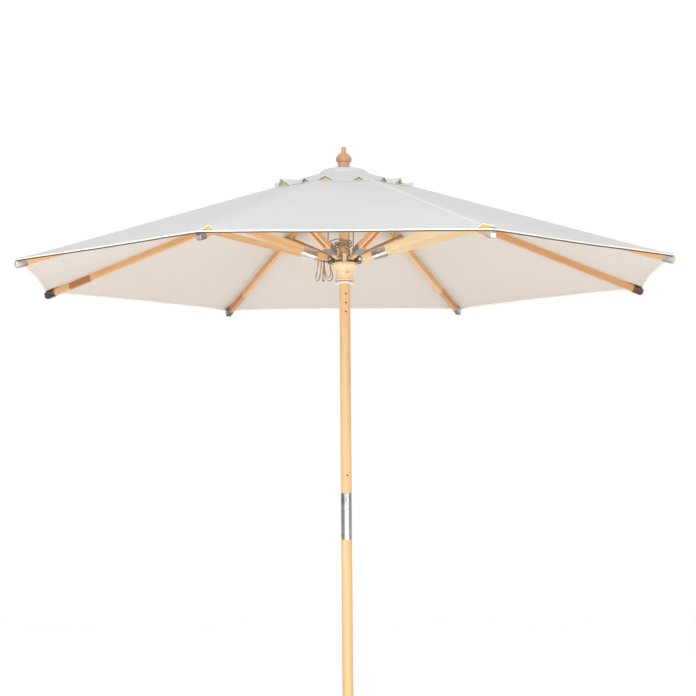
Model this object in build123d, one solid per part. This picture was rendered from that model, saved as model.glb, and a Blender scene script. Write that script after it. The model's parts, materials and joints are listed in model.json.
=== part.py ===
from build123d import *

# A wooden market umbrella with eight ribs, a two-piece pole, a pulley-hoisted runner, a vented
# canopy and a turned finial. Millimetres, +Z up. The origin is the centre of the pole's foot, which
# stands at Z = 0. Eight ribs and struts repeat every 45 degrees, the first 22.5 degrees from +X.

import os
from math import asin, atan2, cos, degrees, hypot, pi, radians, sin, sqrt, tan

# ---------------------------------------------------------------- driving dimensions
RIB_COUNT = 8
STEP_ANGLE = 360 / RIB_COUNT
HALF_ANGLE = STEP_ANGLE / 2

# heights and radii of the frame's joints
TIP_RADIUS = 1500
TIP_Z = 1990
HUB_PIVOT_RADIUS = 75
HUB_PIVOT_Z = 2442
RUNNER_PIVOT_RADIUS = 75
RUNNER_PIVOT_Z = 2077.8
STRUT_PIVOT_ON_RIB = 630
RIB_CLOSED_SLOPE = 86

# pole
POLE_RADIUS = 24
SPIGOT_RADIUS = 23.5
SLEEVE_BOTTOM_Z = 841
SLEEVE_TOP_Z = 1044
SLEEVE_SPLIT_Z = 944
SLEEVE_RADIUS = 25
SLEEVE_WALL = 1.3
POLE_TOP_Z = 2420
FOOT_CHAMFER = 4
LOCK_HOLE_RADIUS = 4
LOCK_HOLE_TOP_Z = 1924
LOCK_HOLE_PITCH = 40
LOCK_HOLE_COUNT = 3

# ribs and struts
RIB_WIDTH = 18
RIB_HEIGHT = 30
STRUT_GAP = 19
SLAT_WIDTH = 9
STRUT_HEIGHT = 28
TONGUE_WIDTH = 16
PIN_RADIUS = 3
PIVOT_CLEARANCE = 0.06
CAP_LENGTH = 52
CAP_CORNER = 12
RIB_EDGE = 1.5
CAP_WALL = 1.4
TAPER_LENGTH = 36
BAND_START = 62
BAND_LENGTH = 68
BAND_WALL = 1.4

# hub
HUB_RADIUS = 92
HUB_BOTTOM_Z = 2414
HUB_EDGE_Z = 2475
HUB_CROWN_Z = 2487.5
HUB_CROWN_RADIUS = 30
HUB_NECK_RADIUS = 33
HUB_NECK_Z = 2372
FINIAL_Z = 2490.1
STUD_REACH = 39
SLOT_WIDTH = 20

# hoist
ROPE_RADIUS = 2.5
SHEAVE_RADIUS = 13.4
SHEAVE_WIDTH = 8
ROPE_TURN_RADIUS = 13
SHEAVE_Z = 2441
FALL_RIGHT_X = 38
FALL_LEFT_X = -72
FALL_TOP_Z = 2420
CHANNEL_WIDTH = 10
STUD_RADIUS = 4
STUD_BOTTOM_Z = 2462

# runner
RUNNER_BORE = 25
RUNNER_BOTTOM_Z = 1983
RUNNER_TOP_Z = 2103
RUNNER_CROWN_RADIUS = 48
COLLAR_RADIUS = 58
RING_BOTTOM_Z = 1967
RING_RADIUS = 43.5
BRACKET_FLOOR_Z = 2061
BRACKET_NOSE = 11
BRACKET_WALL = 1.4
LOCK_ANGLE = 12
LOCK_PIN_RADIUS = 3.5
LOCK_PIN_Z = 2010
LOCK_PIN_TRAVEL = 16
GUIDE_SCREW_Z = 2034

# canopy
CANOPY_LIFT = 19.5
CANOPY_THICKNESS = 1.2
CANOPY_INNER_RADIUS = 170
CANOPY_CORNER_RADIUS = 1497
HEM_INWARD = 21
VENT_INNER_RADIUS = 124
VENT_OUTER_RADIUS = 325
VENT_INNER_Z = 2454
VENT_OUTER_Z = 2394
PANEL_GAP = 0.25

# ---------------------------------------------------------------- worked-out geometry
RIB_SLOPE = degrees(atan2(HUB_PIVOT_Z - TIP_Z, TIP_RADIUS - HUB_PIVOT_RADIUS))
RIB_LENGTH = hypot(HUB_PIVOT_Z - TIP_Z, TIP_RADIUS - HUB_PIVOT_RADIUS)
RIDGE_FALL = tan(radians(RIB_SLOPE))


def rib_point(distance, slope):
    """Radius and height of a point on a rib's centre line, for a rib at that slope."""
    return (
        HUB_PIVOT_RADIUS + distance * cos(radians(slope)),
        HUB_PIVOT_Z - distance * sin(radians(slope)),
    )


JOINT_R, JOINT_Z = rib_point(STRUT_PIVOT_ON_RIB, RIB_SLOPE)
STRUT_LENGTH = hypot(JOINT_R - RUNNER_PIVOT_RADIUS, JOINT_Z - RUNNER_PIVOT_Z)
STRUT_RISE = degrees(asin((JOINT_Z - RUNNER_PIVOT_Z) / STRUT_LENGTH))

CLOSED_R, CLOSED_Z = rib_point(STRUT_PIVOT_ON_RIB, RIB_CLOSED_SLOPE)
STRUT_DROP = sqrt(STRUT_LENGTH**2 - (CLOSED_R - RUNNER_PIVOT_RADIUS) ** 2)
RUNNER_TRAVEL = RUNNER_PIVOT_Z - (CLOSED_Z - STRUT_DROP)
RIB_TURN = RIB_CLOSED_SLOPE - RIB_SLOPE
STRUT_TURN = degrees(atan2(STRUT_DROP, CLOSED_R - RUNNER_PIVOT_RADIUS)) - STRUT_RISE

BASE = (Align.CENTER, Align.CENTER, Align.MIN)
START = (Align.MIN, Align.CENTER, Align.CENTER)
FLOOR = (Align.MIN, Align.CENTER, Align.MIN)


def save(name, *solids):
    """Writes one node's solids to parts/NAME.step."""
    flat = [solid for item in solids for solid in item.solids()]
    export_step(flat[0] if len(flat) == 1 else Compound(children=flat), f"parts/{name}.step")


def rib_angle(k):
    return HALF_ANGLE + STEP_ANGLE * k


def around(shape):
    """The shape, drawn on the +X side, repeated at every rib."""
    return [Rot(0, 0, rib_angle(k)) * shape for k in range(RIB_COUNT)]


def rod(radius, low_z, high_z, x=0, y=0):
    """An upright cylinder."""
    return Pos(x, y, low_z) * Cylinder(radius, high_z - low_z, align=BASE)


def cross_rod(radius, length):
    """A cylinder along Y, centred on the origin."""
    return Rot(90, 0, 0) * Cylinder(radius, length)


def turned(points):
    """A solid of revolution about Z from a closed outline of (radius, height) points."""
    outline = Polyline(*[(r, 0, z) for r, z in points], close=True)
    return revolve(make_face(outline), Axis.Z)


def on_rib(shape):
    """From a rib's own frame, with its pivot at the origin and its length along +X."""
    return Pos(HUB_PIVOT_RADIUS, 0, HUB_PIVOT_Z) * Rot(0, RIB_SLOPE, 0) * shape


def on_strut(shape):
    """From a strut's own frame, with its runner pivot at the origin and its length along +X."""
    return Pos(RUNNER_PIVOT_RADIUS, 0, RUNNER_PIVOT_Z) * Rot(0, -STRUT_RISE, 0) * shape


# ---------------------------------------------------------------- pole
def lower_pole():
    shank = chamfer(rod(POLE_RADIUS, 0, SLEEVE_BOTTOM_Z - 0.3).edges().sort_by(Axis.Z)[0], FOOT_CHAMFER)
    return shank + rod(SPIGOT_RADIUS, SLEEVE_BOTTOM_Z - 0.3, SLEEVE_SPLIT_Z - 0.3)


def upper_pole():
    pole = rod(POLE_RADIUS, SLEEVE_TOP_Z, POLE_TOP_Z) + rod(SPIGOT_RADIUS, SLEEVE_SPLIT_Z, SLEEVE_TOP_Z)
    heights = [LOCK_HOLE_TOP_Z - LOCK_HOLE_PITCH * n for n in range(LOCK_HOLE_COUNT)]
    heights += [LOCK_PIN_Z, LOCK_PIN_Z - RUNNER_TRAVEL]
    for z in heights:
        pole -= Rot(0, 0, LOCK_ANGLE) * Pos(0, 0, z) * cross_rod(LOCK_HOLE_RADIUS, 3 * POLE_RADIUS)
    for screw in sleeve_screws():
        pole -= screw
    return pole


def joint_sleeve():
    sleeve = rod(SLEEVE_RADIUS, SLEEVE_BOTTOM_Z, SLEEVE_TOP_Z)
    sleeve -= rod(SLEEVE_RADIUS - SLEEVE_WALL, SLEEVE_BOTTOM_Z, SLEEVE_TOP_Z)
    for screw in sleeve_screws():
        sleeve -= screw
    return sleeve


def sleeve_screws():
    """Two small screws, at the back, that hold the sleeve to the upper pole."""
    screw = Pos(0, SLEEVE_RADIUS - 5, 0) * cross_rod(1.5, 14)
    screw += Pos(0, SLEEVE_RADIUS + 1, 0) * cross_rod(3.2, 2)
    return [Pos(0, 0, z) * screw for z in (SLEEVE_TOP_Z - 15, SLEEVE_TOP_Z - 65)]


# ---------------------------------------------------------------- hub and hoist
def top_hub():
    hub = turned(
        [
            (0, HUB_NECK_Z),
            (HUB_NECK_RADIUS, HUB_NECK_Z),
            (HUB_NECK_RADIUS, HUB_BOTTOM_Z),
            (HUB_RADIUS - 6, HUB_BOTTOM_Z),
            (HUB_RADIUS, HUB_BOTTOM_Z + 6),
            (HUB_RADIUS, HUB_EDGE_Z - 6),
            (HUB_RADIUS - 6, HUB_EDGE_Z),
            (HUB_CROWN_RADIUS, HUB_CROWN_Z),
            (0, HUB_CROWN_Z),
        ]
    )
    hub -= rod(POLE_RADIUS + 0.05, HUB_NECK_Z, POLE_TOP_Z + 0.3)
    slot_height = 2 * (HUB_PIVOT_Z + 18 - HUB_BOTTOM_Z)
    slot = Pos(56, 0, HUB_BOTTOM_Z) * Box(60, SLOT_WIDTH, slot_height, align=START)
    for cut in around(slot):
        hub -= cut
    left, right = FALL_LEFT_X - 6, FALL_RIGHT_X + 6
    channel = Pos(left, 0, SHEAVE_Z) * Box(right - left, CHANNEL_WIDTH, 40, align=START)
    hub -= channel
    for x in (FALL_LEFT_X, FALL_RIGHT_X):
        hub -= Pos(x, 0, HUB_BOTTOM_Z) * Box(10, CHANNEL_WIDTH, 30)
    hub -= rod(STUD_RADIUS, STUD_BOTTOM_Z, HUB_CROWN_Z)
    for pin in hub_pins():
        hub -= pin
    return hub


def sheave_centres():
    return {"left": FALL_LEFT_X + ROPE_TURN_RADIUS, "right": FALL_RIGHT_X - ROPE_TURN_RADIUS}


def hub_pins():
    """The eight rib pins and the two sheave axles, all pressed into the hub."""
    pins = around(Pos(HUB_PIVOT_RADIUS, 0, HUB_PIVOT_Z) * cross_rod(PIN_RADIUS, 44))
    return pins + [Pos(x, 0, SHEAVE_Z) * cross_rod(2.5, 28) for x in sheave_centres().values()]


def sheave(x):
    groove = ROPE_TURN_RADIUS - ROPE_RADIUS - 0.3
    half = SHEAVE_WIDTH / 2
    wheel = cross_rod(SHEAVE_RADIUS, SHEAVE_WIDTH)
    ring = Rot(90, 0, 0) * Torus(ROPE_TURN_RADIUS + 0.2, ROPE_TURN_RADIUS + 0.2 - groove)
    wheel -= ring
    wheel -= cross_rod(2.5 + PIVOT_CLEARANCE, 3 * half)
    return Pos(x, 0, SHEAVE_Z) * wheel


def rope_over_hub():
    """The stretch of rope over both sheaves, inside the hub."""
    left, right = sheave_centres()["left"], sheave_centres()["right"]
    up = Line((FALL_RIGHT_X, 0, FALL_TOP_Z), (FALL_RIGHT_X, 0, SHEAVE_Z))
    top_z = SHEAVE_Z + ROPE_TURN_RADIUS
    over_right = TangentArc((FALL_RIGHT_X, 0, SHEAVE_Z), (right, 0, top_z), tangent=(0, 0, 1))
    across = Line((right, 0, top_z), (left, 0, top_z))
    over_left = TangentArc((left, 0, top_z), (FALL_LEFT_X, 0, SHEAVE_Z), tangent=(-1, 0, 0))
    down = Line((FALL_LEFT_X, 0, SHEAVE_Z), (FALL_LEFT_X, 0, FALL_TOP_Z))
    path = up + over_right + across + over_left + down
    return sweep(Plane(path @ 0, z_dir=path % 0) * Circle(ROPE_RADIUS), path=path)


def rope_falls():
    """The two straight falls, from the hub to the runner and to the coil of spare rope."""
    return [
        rod(ROPE_RADIUS, RUNNER_TOP_Z, FALL_TOP_Z, x=FALL_RIGHT_X),
        rod(ROPE_RADIUS, COIL_LEAD_TOP_Z, FALL_TOP_Z, x=FALL_LEFT_X),
    ]


def finial_profile():
    """Radius and height above the finial's foot, from the foot up."""
    foot = Polyline((0, 0, 0), (31, 0, 0), (31, 0, 2))
    body = Spline((31, 0, 2), (26, 0, 8), (26, 0, 18), (32, 0, 25), tangents=[(-0.4, 0, 1), (1, 0, 0.5)])
    bulb = Spline(
        (32, 0, 25), (35.2, 0, 36), (31.5, 0, 47), (14.5, 0, 64), (10.2, 0, 76),
        tangents=[(0.35, 0, 1), (0, 0, 1)],
    )
    neck = Line((10.2, 0, 76), (10.2, 0, 87))
    tip = Spline((10.2, 0, 87), (7.5, 0, 92.5), (0, 0, 94), tangents=[(0, 0, 1), (-1, 0, 0)])
    return make_face(foot + body + bulb + neck + tip + Line((0, 0, 94), (0, 0, 0)))


def finial():
    knob = Pos(0, 0, FINIAL_Z) * revolve(finial_profile(), Axis.Z)
    return knob - rod(STUD_RADIUS + PIVOT_CLEARANCE, HUB_CROWN_Z, FINIAL_Z + STUD_REACH + 0.5)


def finial_stud():
    return rod(STUD_RADIUS, STUD_BOTTOM_Z, FINIAL_Z + STUD_REACH)


def crown_cover():
    """The fabric disc over the hub, clamped by the finial."""
    lift, thick = 0.3, 2
    inner = [
        (4.3, HUB_CROWN_Z),
        (HUB_CROWN_RADIUS, HUB_CROWN_Z),
        (HUB_RADIUS + 2, HUB_EDGE_Z + 1.5),
        (HUB_RADIUS + 16, HUB_EDGE_Z - 8),
    ]
    lower = [(r, z + lift) for r, z in inner]
    upper = [(r, z + lift + thick) for r, z in reversed(inner)]
    return turned(lower + upper)


# ---------------------------------------------------------------- runner
def runner_body():
    body = turned(
        [
            (RUNNER_BORE, RUNNER_BOTTOM_Z),
            (42, RUNNER_BOTTOM_Z),
            (42.5, RUNNER_BOTTOM_Z + 5),
            (38, RUNNER_BOTTOM_Z + 12),
            (36.5, RUNNER_BOTTOM_Z + 26),
            (37, RUNNER_BOTTOM_Z + 46),
            (43, RUNNER_BOTTOM_Z + 59),
            (COLLAR_RADIUS - 3, RUNNER_BOTTOM_Z + 62),
            (COLLAR_RADIUS, RUNNER_BOTTOM_Z + 67),
            (COLLAR_RADIUS - 2, BRACKET_FLOOR_Z),
            (RUNNER_CROWN_RADIUS, BRACKET_FLOOR_Z),
            (RUNNER_CROWN_RADIUS, RUNNER_TOP_Z - 3),
            (RUNNER_CROWN_RADIUS - 3, RUNNER_TOP_Z),
            (RUNNER_BORE, RUNNER_TOP_Z),
        ]
    )
    slot = Pos(33, 0, BRACKET_FLOOR_Z) * Box(30, SLOT_WIDTH, 100, align=FLOOR)
    for cut in around(slot):
        body -= cut
    body -= at_lock(cross_rod(LOCK_PIN_RADIUS + PIVOT_CLEARANCE, 60), 45, LOCK_PIN_Z)
    return body - at_lock(guide_screw(), 0, 0)


def runner_ring():
    ring = rod(RING_RADIUS, RING_BOTTOM_Z, RUNNER_BOTTOM_Z) - rod(RUNNER_BORE, RING_BOTTOM_Z, RUNNER_BOTTOM_Z)
    return fillet(ring.edges().filter_by(GeomType.CIRCLE).group_by(SortBy.RADIUS)[-1], 6)


def at_lock(shape, distance, z):
    """The shape, moved that far out from the pole along the locking pin's line."""
    return Rot(0, 0, LOCK_ANGLE) * Pos(0, -distance, z) * shape


def strut_bracket():
    """A folded steel channel with two round-nosed cheeks, seated in a slot of the runner."""
    back, floor_z = 33.2, BRACKET_FLOOR_Z + 0.1
    reach, height = RUNNER_PIVOT_RADIUS - back, RUNNER_PIVOT_Z + BRACKET_NOSE - floor_z
    gap, width = TONGUE_WIDTH + 1, TONGUE_WIDTH + 1 + 2 * BRACKET_WALL
    block = Pos(back, 0, floor_z) * Box(reach, width, height, align=FLOOR)
    nose = Pos(RUNNER_PIVOT_RADIUS, 0, RUNNER_PIVOT_Z) * cross_rod(BRACKET_NOSE, width)
    inside = Pos(back, 0, floor_z + BRACKET_WALL) * Box(2 * reach, gap, 2 * height, align=FLOOR)
    bolt = Pos(RUNNER_PIVOT_RADIUS, 0, RUNNER_PIVOT_Z) * cross_rod(PIN_RADIUS, 2 * width)
    return block + nose - inside - bolt


def strut_bolt():
    """A bolt through the cheeks, with a domed head on one side and a hexagon nut on the other."""
    half, head_height, nut_height = TONGUE_WIDTH / 2 + 2, 4, 4
    bolt = cross_rod(PIN_RADIUS, 2 * half)
    dome = Rot(90, 0, 0) * (Sphere(9) & Pos(0, 0, 9 - head_height) * Box(30, 30, 9, align=BASE))
    bolt += Pos(0, 9 - head_height - half, 0) * dome
    nut = Rot(90, 0, 0) * extrude(RegularPolygon(6.5, 6), nut_height / 2, both=True)
    bolt += Pos(0, half + nut_height / 2, 0) * nut
    return Pos(RUNNER_PIVOT_RADIUS, 0, RUNNER_PIVOT_Z) * bolt


def guide_screw():
    """A round-headed screw in the runner, above the locking pin, pointing at the pole."""
    screw = Pos(0, -33, GUIDE_SCREW_Z) * cross_rod(1.8, 10)
    return screw + Pos(0, -38.5, GUIDE_SCREW_Z) * cross_rod(4.5, 3)


def lock_pin():
    """The locking pin, drawn back so that its tip is clear of the pole, with a ball head."""
    tip, head = POLE_RADIUS + 2, 44.5 + LOCK_PIN_TRAVEL
    pin = at_lock(cross_rod(LOCK_PIN_RADIUS, head - tip), (tip + head) / 2, LOCK_PIN_Z)
    return pin + at_lock(Sphere(6.5), head, LOCK_PIN_Z)


# ---------------------------------------------------------------- spare rope
COIL_BOTTOM_Z = 2108
COIL_TOP_Z = 2178
COIL_RADIUS = 39
COIL_SHIFT = -9
COIL_LEAD_TOP_Z = 2138
COIL_LEAD_HEIGHT = 10
END_KNOT_RADIUS = 6.5
# the route of the hanging bights, from the coil's lead to the knotted end
BIGHTS = [
    (-66, 2, 2128),
    (-66, 2, 2104),
    (-67, 8, 2072),
    (-63, 12, 2042),
    (-53, 13, 2016),
    (-54, 11, 1994),
    (-67, 8, 1982),
    (-82, 5, 1989),
    (-90, 2, 2014),
    (-90, -1, 2052),
    (-87, -4, 2082),
    (-84, -6, 2098),
    (-77, -8, 2107),
    (-69, -8, 2104),
    (-65, -7, 2092),
    (-64, -5, 2070),
    (-63, -4, 2040),
    (-62, -5, 2014),
    (-67, -6, 1999),
    (-77, -8, 1997),
    (-84, -9, 2011),
    (-88, -10, 2038),
    (-94, -10, 2072),
    (-98, -8, 2096),
    (-106, -5, 2105),
    (-114, -1, 2096),
    (-116, 2, 2074),
    (-119, 4, 2042),
    (-125, 5, 2012),
    (-128, 6, 1995),
    (-125, 6, 1985),
    (-116, 6, 1984),
    (-111, 6, 1995),
    (-108, 5, 2015),
    (-104, 4, 2044),
    (-102, 6, 2072),
    (-101, 7, 2088),
    (-98, 9, 2100),
    (-88, 12, 2100),
    (-87, 14, 2086),
    (-92, 15, 2060),
    (-97, 14, 2012),
    (-95, 13, 1986),
]


def rope_radii():
    """The largest tangent arc that each corner's two runs allow."""
    radii = []
    for before, here, after in zip(BIGHTS, BIGHTS[1:], BIGHTS[2:]):
        a, b = Vector(*here) - Vector(*before), Vector(*after) - Vector(*here)
        radii.append(0.45 * min(a.length, b.length) / tan(radians(a.get_angle(b)) / 2))
    return radii


def rope_coil():
    """The outer shape of the spare rope wound round the pole, and its lead to the falls and bights."""
    coil = rod(COIL_RADIUS, COIL_BOTTOM_Z, COIL_TOP_Z, x=COIL_SHIFT)
    left, right = FALL_LEFT_X - ROPE_RADIUS, -POLE_RADIUS
    centre = ((left + right) / 2, 0, COIL_LEAD_TOP_Z - COIL_LEAD_HEIGHT / 2)
    coil += Pos(*centre) * Box(right - left, 8, COIL_LEAD_HEIGHT)
    return coil - rod(RUNNER_BORE + 1, COIL_BOTTOM_Z, COIL_TOP_Z)


def rope_bights():
    path = FilletPolyline(*BIGHTS, radius=rope_radii())
    tube = sweep(Plane(path @ 0, z_dir=path % 0) * Circle(ROPE_RADIUS), path=path)
    section = pi * ROPE_RADIUS**2
    print("rope bights: radii", [round(r) for r in rope_radii()])
    ratio = tube.volume / section / path.length
    print("rope bights: length", round(path.length), "volume ratio", round(ratio, 3))
    return tube + Pos(*BIGHTS[-1]) * Sphere(END_KNOT_RADIUS)


# ---------------------------------------------------------------- ribs, struts and canopy
def round_end(length, width, height, corner):
    """A bar along +X from the origin, with its long edges eased and its far end rounded."""
    bar = Box(length, width, height, align=START)
    bar = fillet(bar.faces().sort_by(Axis.X)[-1].edges().filter_by(Axis.Y), corner)
    return fillet(bar.edges().filter_by(Axis.X), RIB_EDGE)


def rib():
    bar = round_end(RIB_LENGTH - CAP_WALL - 0.1, RIB_WIDTH, RIB_HEIGHT, CAP_CORNER - CAP_WALL)
    bar = bar + fillet(cross_rod(RIB_HEIGHT / 2, RIB_WIDTH).edges(), RIB_EDGE)
    bar -= cross_rod(PIN_RADIUS + PIVOT_CLEARANCE, 60)
    bar -= Pos(STRUT_PIVOT_ON_RIB, 0, 0) * cross_rod(PIN_RADIUS, 60)
    return on_rib(bar)


def rib_fittings():
    """The steel end cap and the pin that the strut turns on."""
    outer = round_end(RIB_LENGTH, RIB_WIDTH + 2 * CAP_WALL, RIB_HEIGHT + 2 * CAP_WALL, CAP_CORNER)
    inside = Box(RIB_LENGTH - CAP_WALL, RIB_WIDTH + 0.1, RIB_HEIGHT + 0.1, align=START)
    inside = fillet(inside.faces().sort_by(Axis.X)[-1].edges().filter_by(Axis.Y), CAP_CORNER - CAP_WALL)
    keep = Pos(RIB_LENGTH - CAP_LENGTH, 0, 0) * Box(CAP_LENGTH, 100, 100, align=START)
    cap = (outer & keep) - inside
    pin = Pos(STRUT_PIVOT_ON_RIB, 0, 0) * cross_rod(PIN_RADIUS, RIB_WIDTH + 0.4)
    return [on_rib(cap), on_rib(pin)]


def strut():
    """Two slats that straddle the rib, and the tongue that joins them to the runner."""
    nose = 9
    tongue = cross_rod(nose, TONGUE_WIDTH)
    outline = Polyline(
        (0, 0, -nose), (TAPER_LENGTH, 0, -STRUT_HEIGHT / 2), (BAND_START, 0, -STRUT_HEIGHT / 2),
        (BAND_START, 0, STRUT_HEIGHT / 2), (TAPER_LENGTH, 0, STRUT_HEIGHT / 2), (0, 0, nose), close=True,
    )
    tongue += extrude(make_face(outline), TONGUE_WIDTH / 2, both=True)
    tongue += Pos(BAND_START, 0, 0) * Box(BAND_LENGTH + 6, STRUT_GAP, STRUT_HEIGHT, align=START)
    tongue -= cross_rod(PIN_RADIUS + PIVOT_CLEARANCE, 60)
    slat = Pos(BAND_START, 0, 0) * Box(STRUT_LENGTH - BAND_START, SLAT_WIDTH, STRUT_HEIGHT, align=START)
    slat += Pos(STRUT_LENGTH, 0, 0) * cross_rod(STRUT_HEIGHT / 2, SLAT_WIDTH)
    offset = (STRUT_GAP + SLAT_WIDTH) / 2
    return [on_strut(tongue)] + [on_strut(Pos(0, side * offset, 0) * slat) for side in (-1, 1)]


def strut_fittings():
    """The steel band round the slats and tongue, and the two rivet heads at the rib."""
    width, height = STRUT_GAP + 2 * SLAT_WIDTH, STRUT_HEIGHT
    band = Box(BAND_LENGTH, width + 2 * BAND_WALL, height + 2 * BAND_WALL, align=START)
    band = fillet(band.edges().filter_by(Axis.X), 2.5)
    band = Pos(BAND_START, 0, 0) * (band - Box(BAND_LENGTH, width + 0.1, height + 0.1, align=START))
    head = Pos(STRUT_LENGTH, width / 2 + 1.5, 0) * cross_rod(7, 3)
    head = fillet(head.faces().sort_by(Axis.Y)[-1].edges(), 2)
    return [on_strut(band), on_strut(head), on_strut(mirror(head, about=Plane.XZ))]


def panel_pair(inner, outer, inner_z, outer_z, inward):
    """The cloth either side of one rib, out to the middle of the panels, as one thin solid."""
    fall = (inner_z - outer_z) / (outer - inner)
    mid = radians(HALF_ANGLE)
    across = outer * sin(mid)

    def at(radius, side, inset=0.0):
        """The point at that radius along the middle line, that far sideways from it."""
        x = radius * cos(mid) + side * sin(mid)
        y = radius * sin(mid) - side * cos(mid)
        z = inner_z + fall * inner - fall * radius / cos(mid)
        return Vector(x, y, z)

    arc_radius = (across**2 + inward**2) / (2 * inward)

    def hem(side):
        dip = inward - (arc_radius - sqrt(arc_radius**2 - side**2))
        return at(outer * cos(mid) - dip, side)

    edge = ThreePointArc(hem(across), hem(across / 2), hem(PANEL_GAP))
    near = at(inner * cos(mid), PANEL_GAP)
    corner = at(inner * cos(mid), inner * sin(mid))
    face = make_face(Line(corner, edge @ 0) + edge + Line(edge @ 1, near) + Line(near, corner))
    half = extrude(face, CANOPY_THICKNESS, dir=(0, 0, 1))
    return half + mirror(half, about=Plane.XZ)


def canopy_panel():
    """The main cloth and the vent's cloth over one rib."""

    def ridge_z(radius):
        return HUB_PIVOT_Z + CANOPY_LIFT - (radius - HUB_PIVOT_RADIUS) * RIDGE_FALL

    main = panel_pair(
        CANOPY_INNER_RADIUS, CANOPY_CORNER_RADIUS,
        ridge_z(CANOPY_INNER_RADIUS), ridge_z(CANOPY_CORNER_RADIUS), HEM_INWARD,
    )
    vent = panel_pair(VENT_INNER_RADIUS, VENT_OUTER_RADIUS, VENT_INNER_Z, VENT_OUTER_Z, 2)
    return [main, vent]


def main():
    os.makedirs("parts", exist_ok=True)
    save("lower_pole", lower_pole())
    save("upper_pole", upper_pole())
    save("joint_sleeve", joint_sleeve())
    save("sleeve_screws", *sleeve_screws())
    save("top_hub", top_hub())
    save("hub_pins", *hub_pins())
    save("finial", finial())
    save("finial_stud", finial_stud())
    save("crown_cover", crown_cover())
    for side, x in sheave_centres().items():
        save(f"sheave_{side}", sheave(x))
    save("rope_over_hub", rope_over_hub())
    save("rope_falls", *rope_falls())
    save("rope_coil", rope_coil())
    save("rope_bights", rope_bights())
    save("runner_body", runner_body())
    save("runner_ring", runner_ring())
    save("strut_brackets", *around(strut_bracket()))
    save("runner_fasteners", *around(strut_bolt()), at_lock(guide_screw(), 0, 0))
    save("lock_pin", lock_pin())
    repeated = {
        "rib": [rib()],
        "rib_fittings": rib_fittings(),
        "canopy_panel": canopy_panel(),
        "strut": strut(),
        "strut_fittings": strut_fittings(),
    }
    for name, solids in repeated.items():
        for k in range(RIB_COUNT):
            save(f"{name}_{k + 1}", *[Rot(0, 0, rib_angle(k)) * solid for solid in solids])
    print("rib slope", round(RIB_SLOPE, 4), "turn", round(RIB_TURN, 4))
    print("strut length", round(STRUT_LENGTH, 3), "rise", round(STRUT_RISE, 4), "turn", round(STRUT_TURN, 4))
    print("runner travel", round(RUNNER_TRAVEL, 3))


main()
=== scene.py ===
import json
from math import atan2, cos, hypot, pi, radians, sin

import bmesh
import bpy
from mathutils import Matrix, Vector, noise

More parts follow.
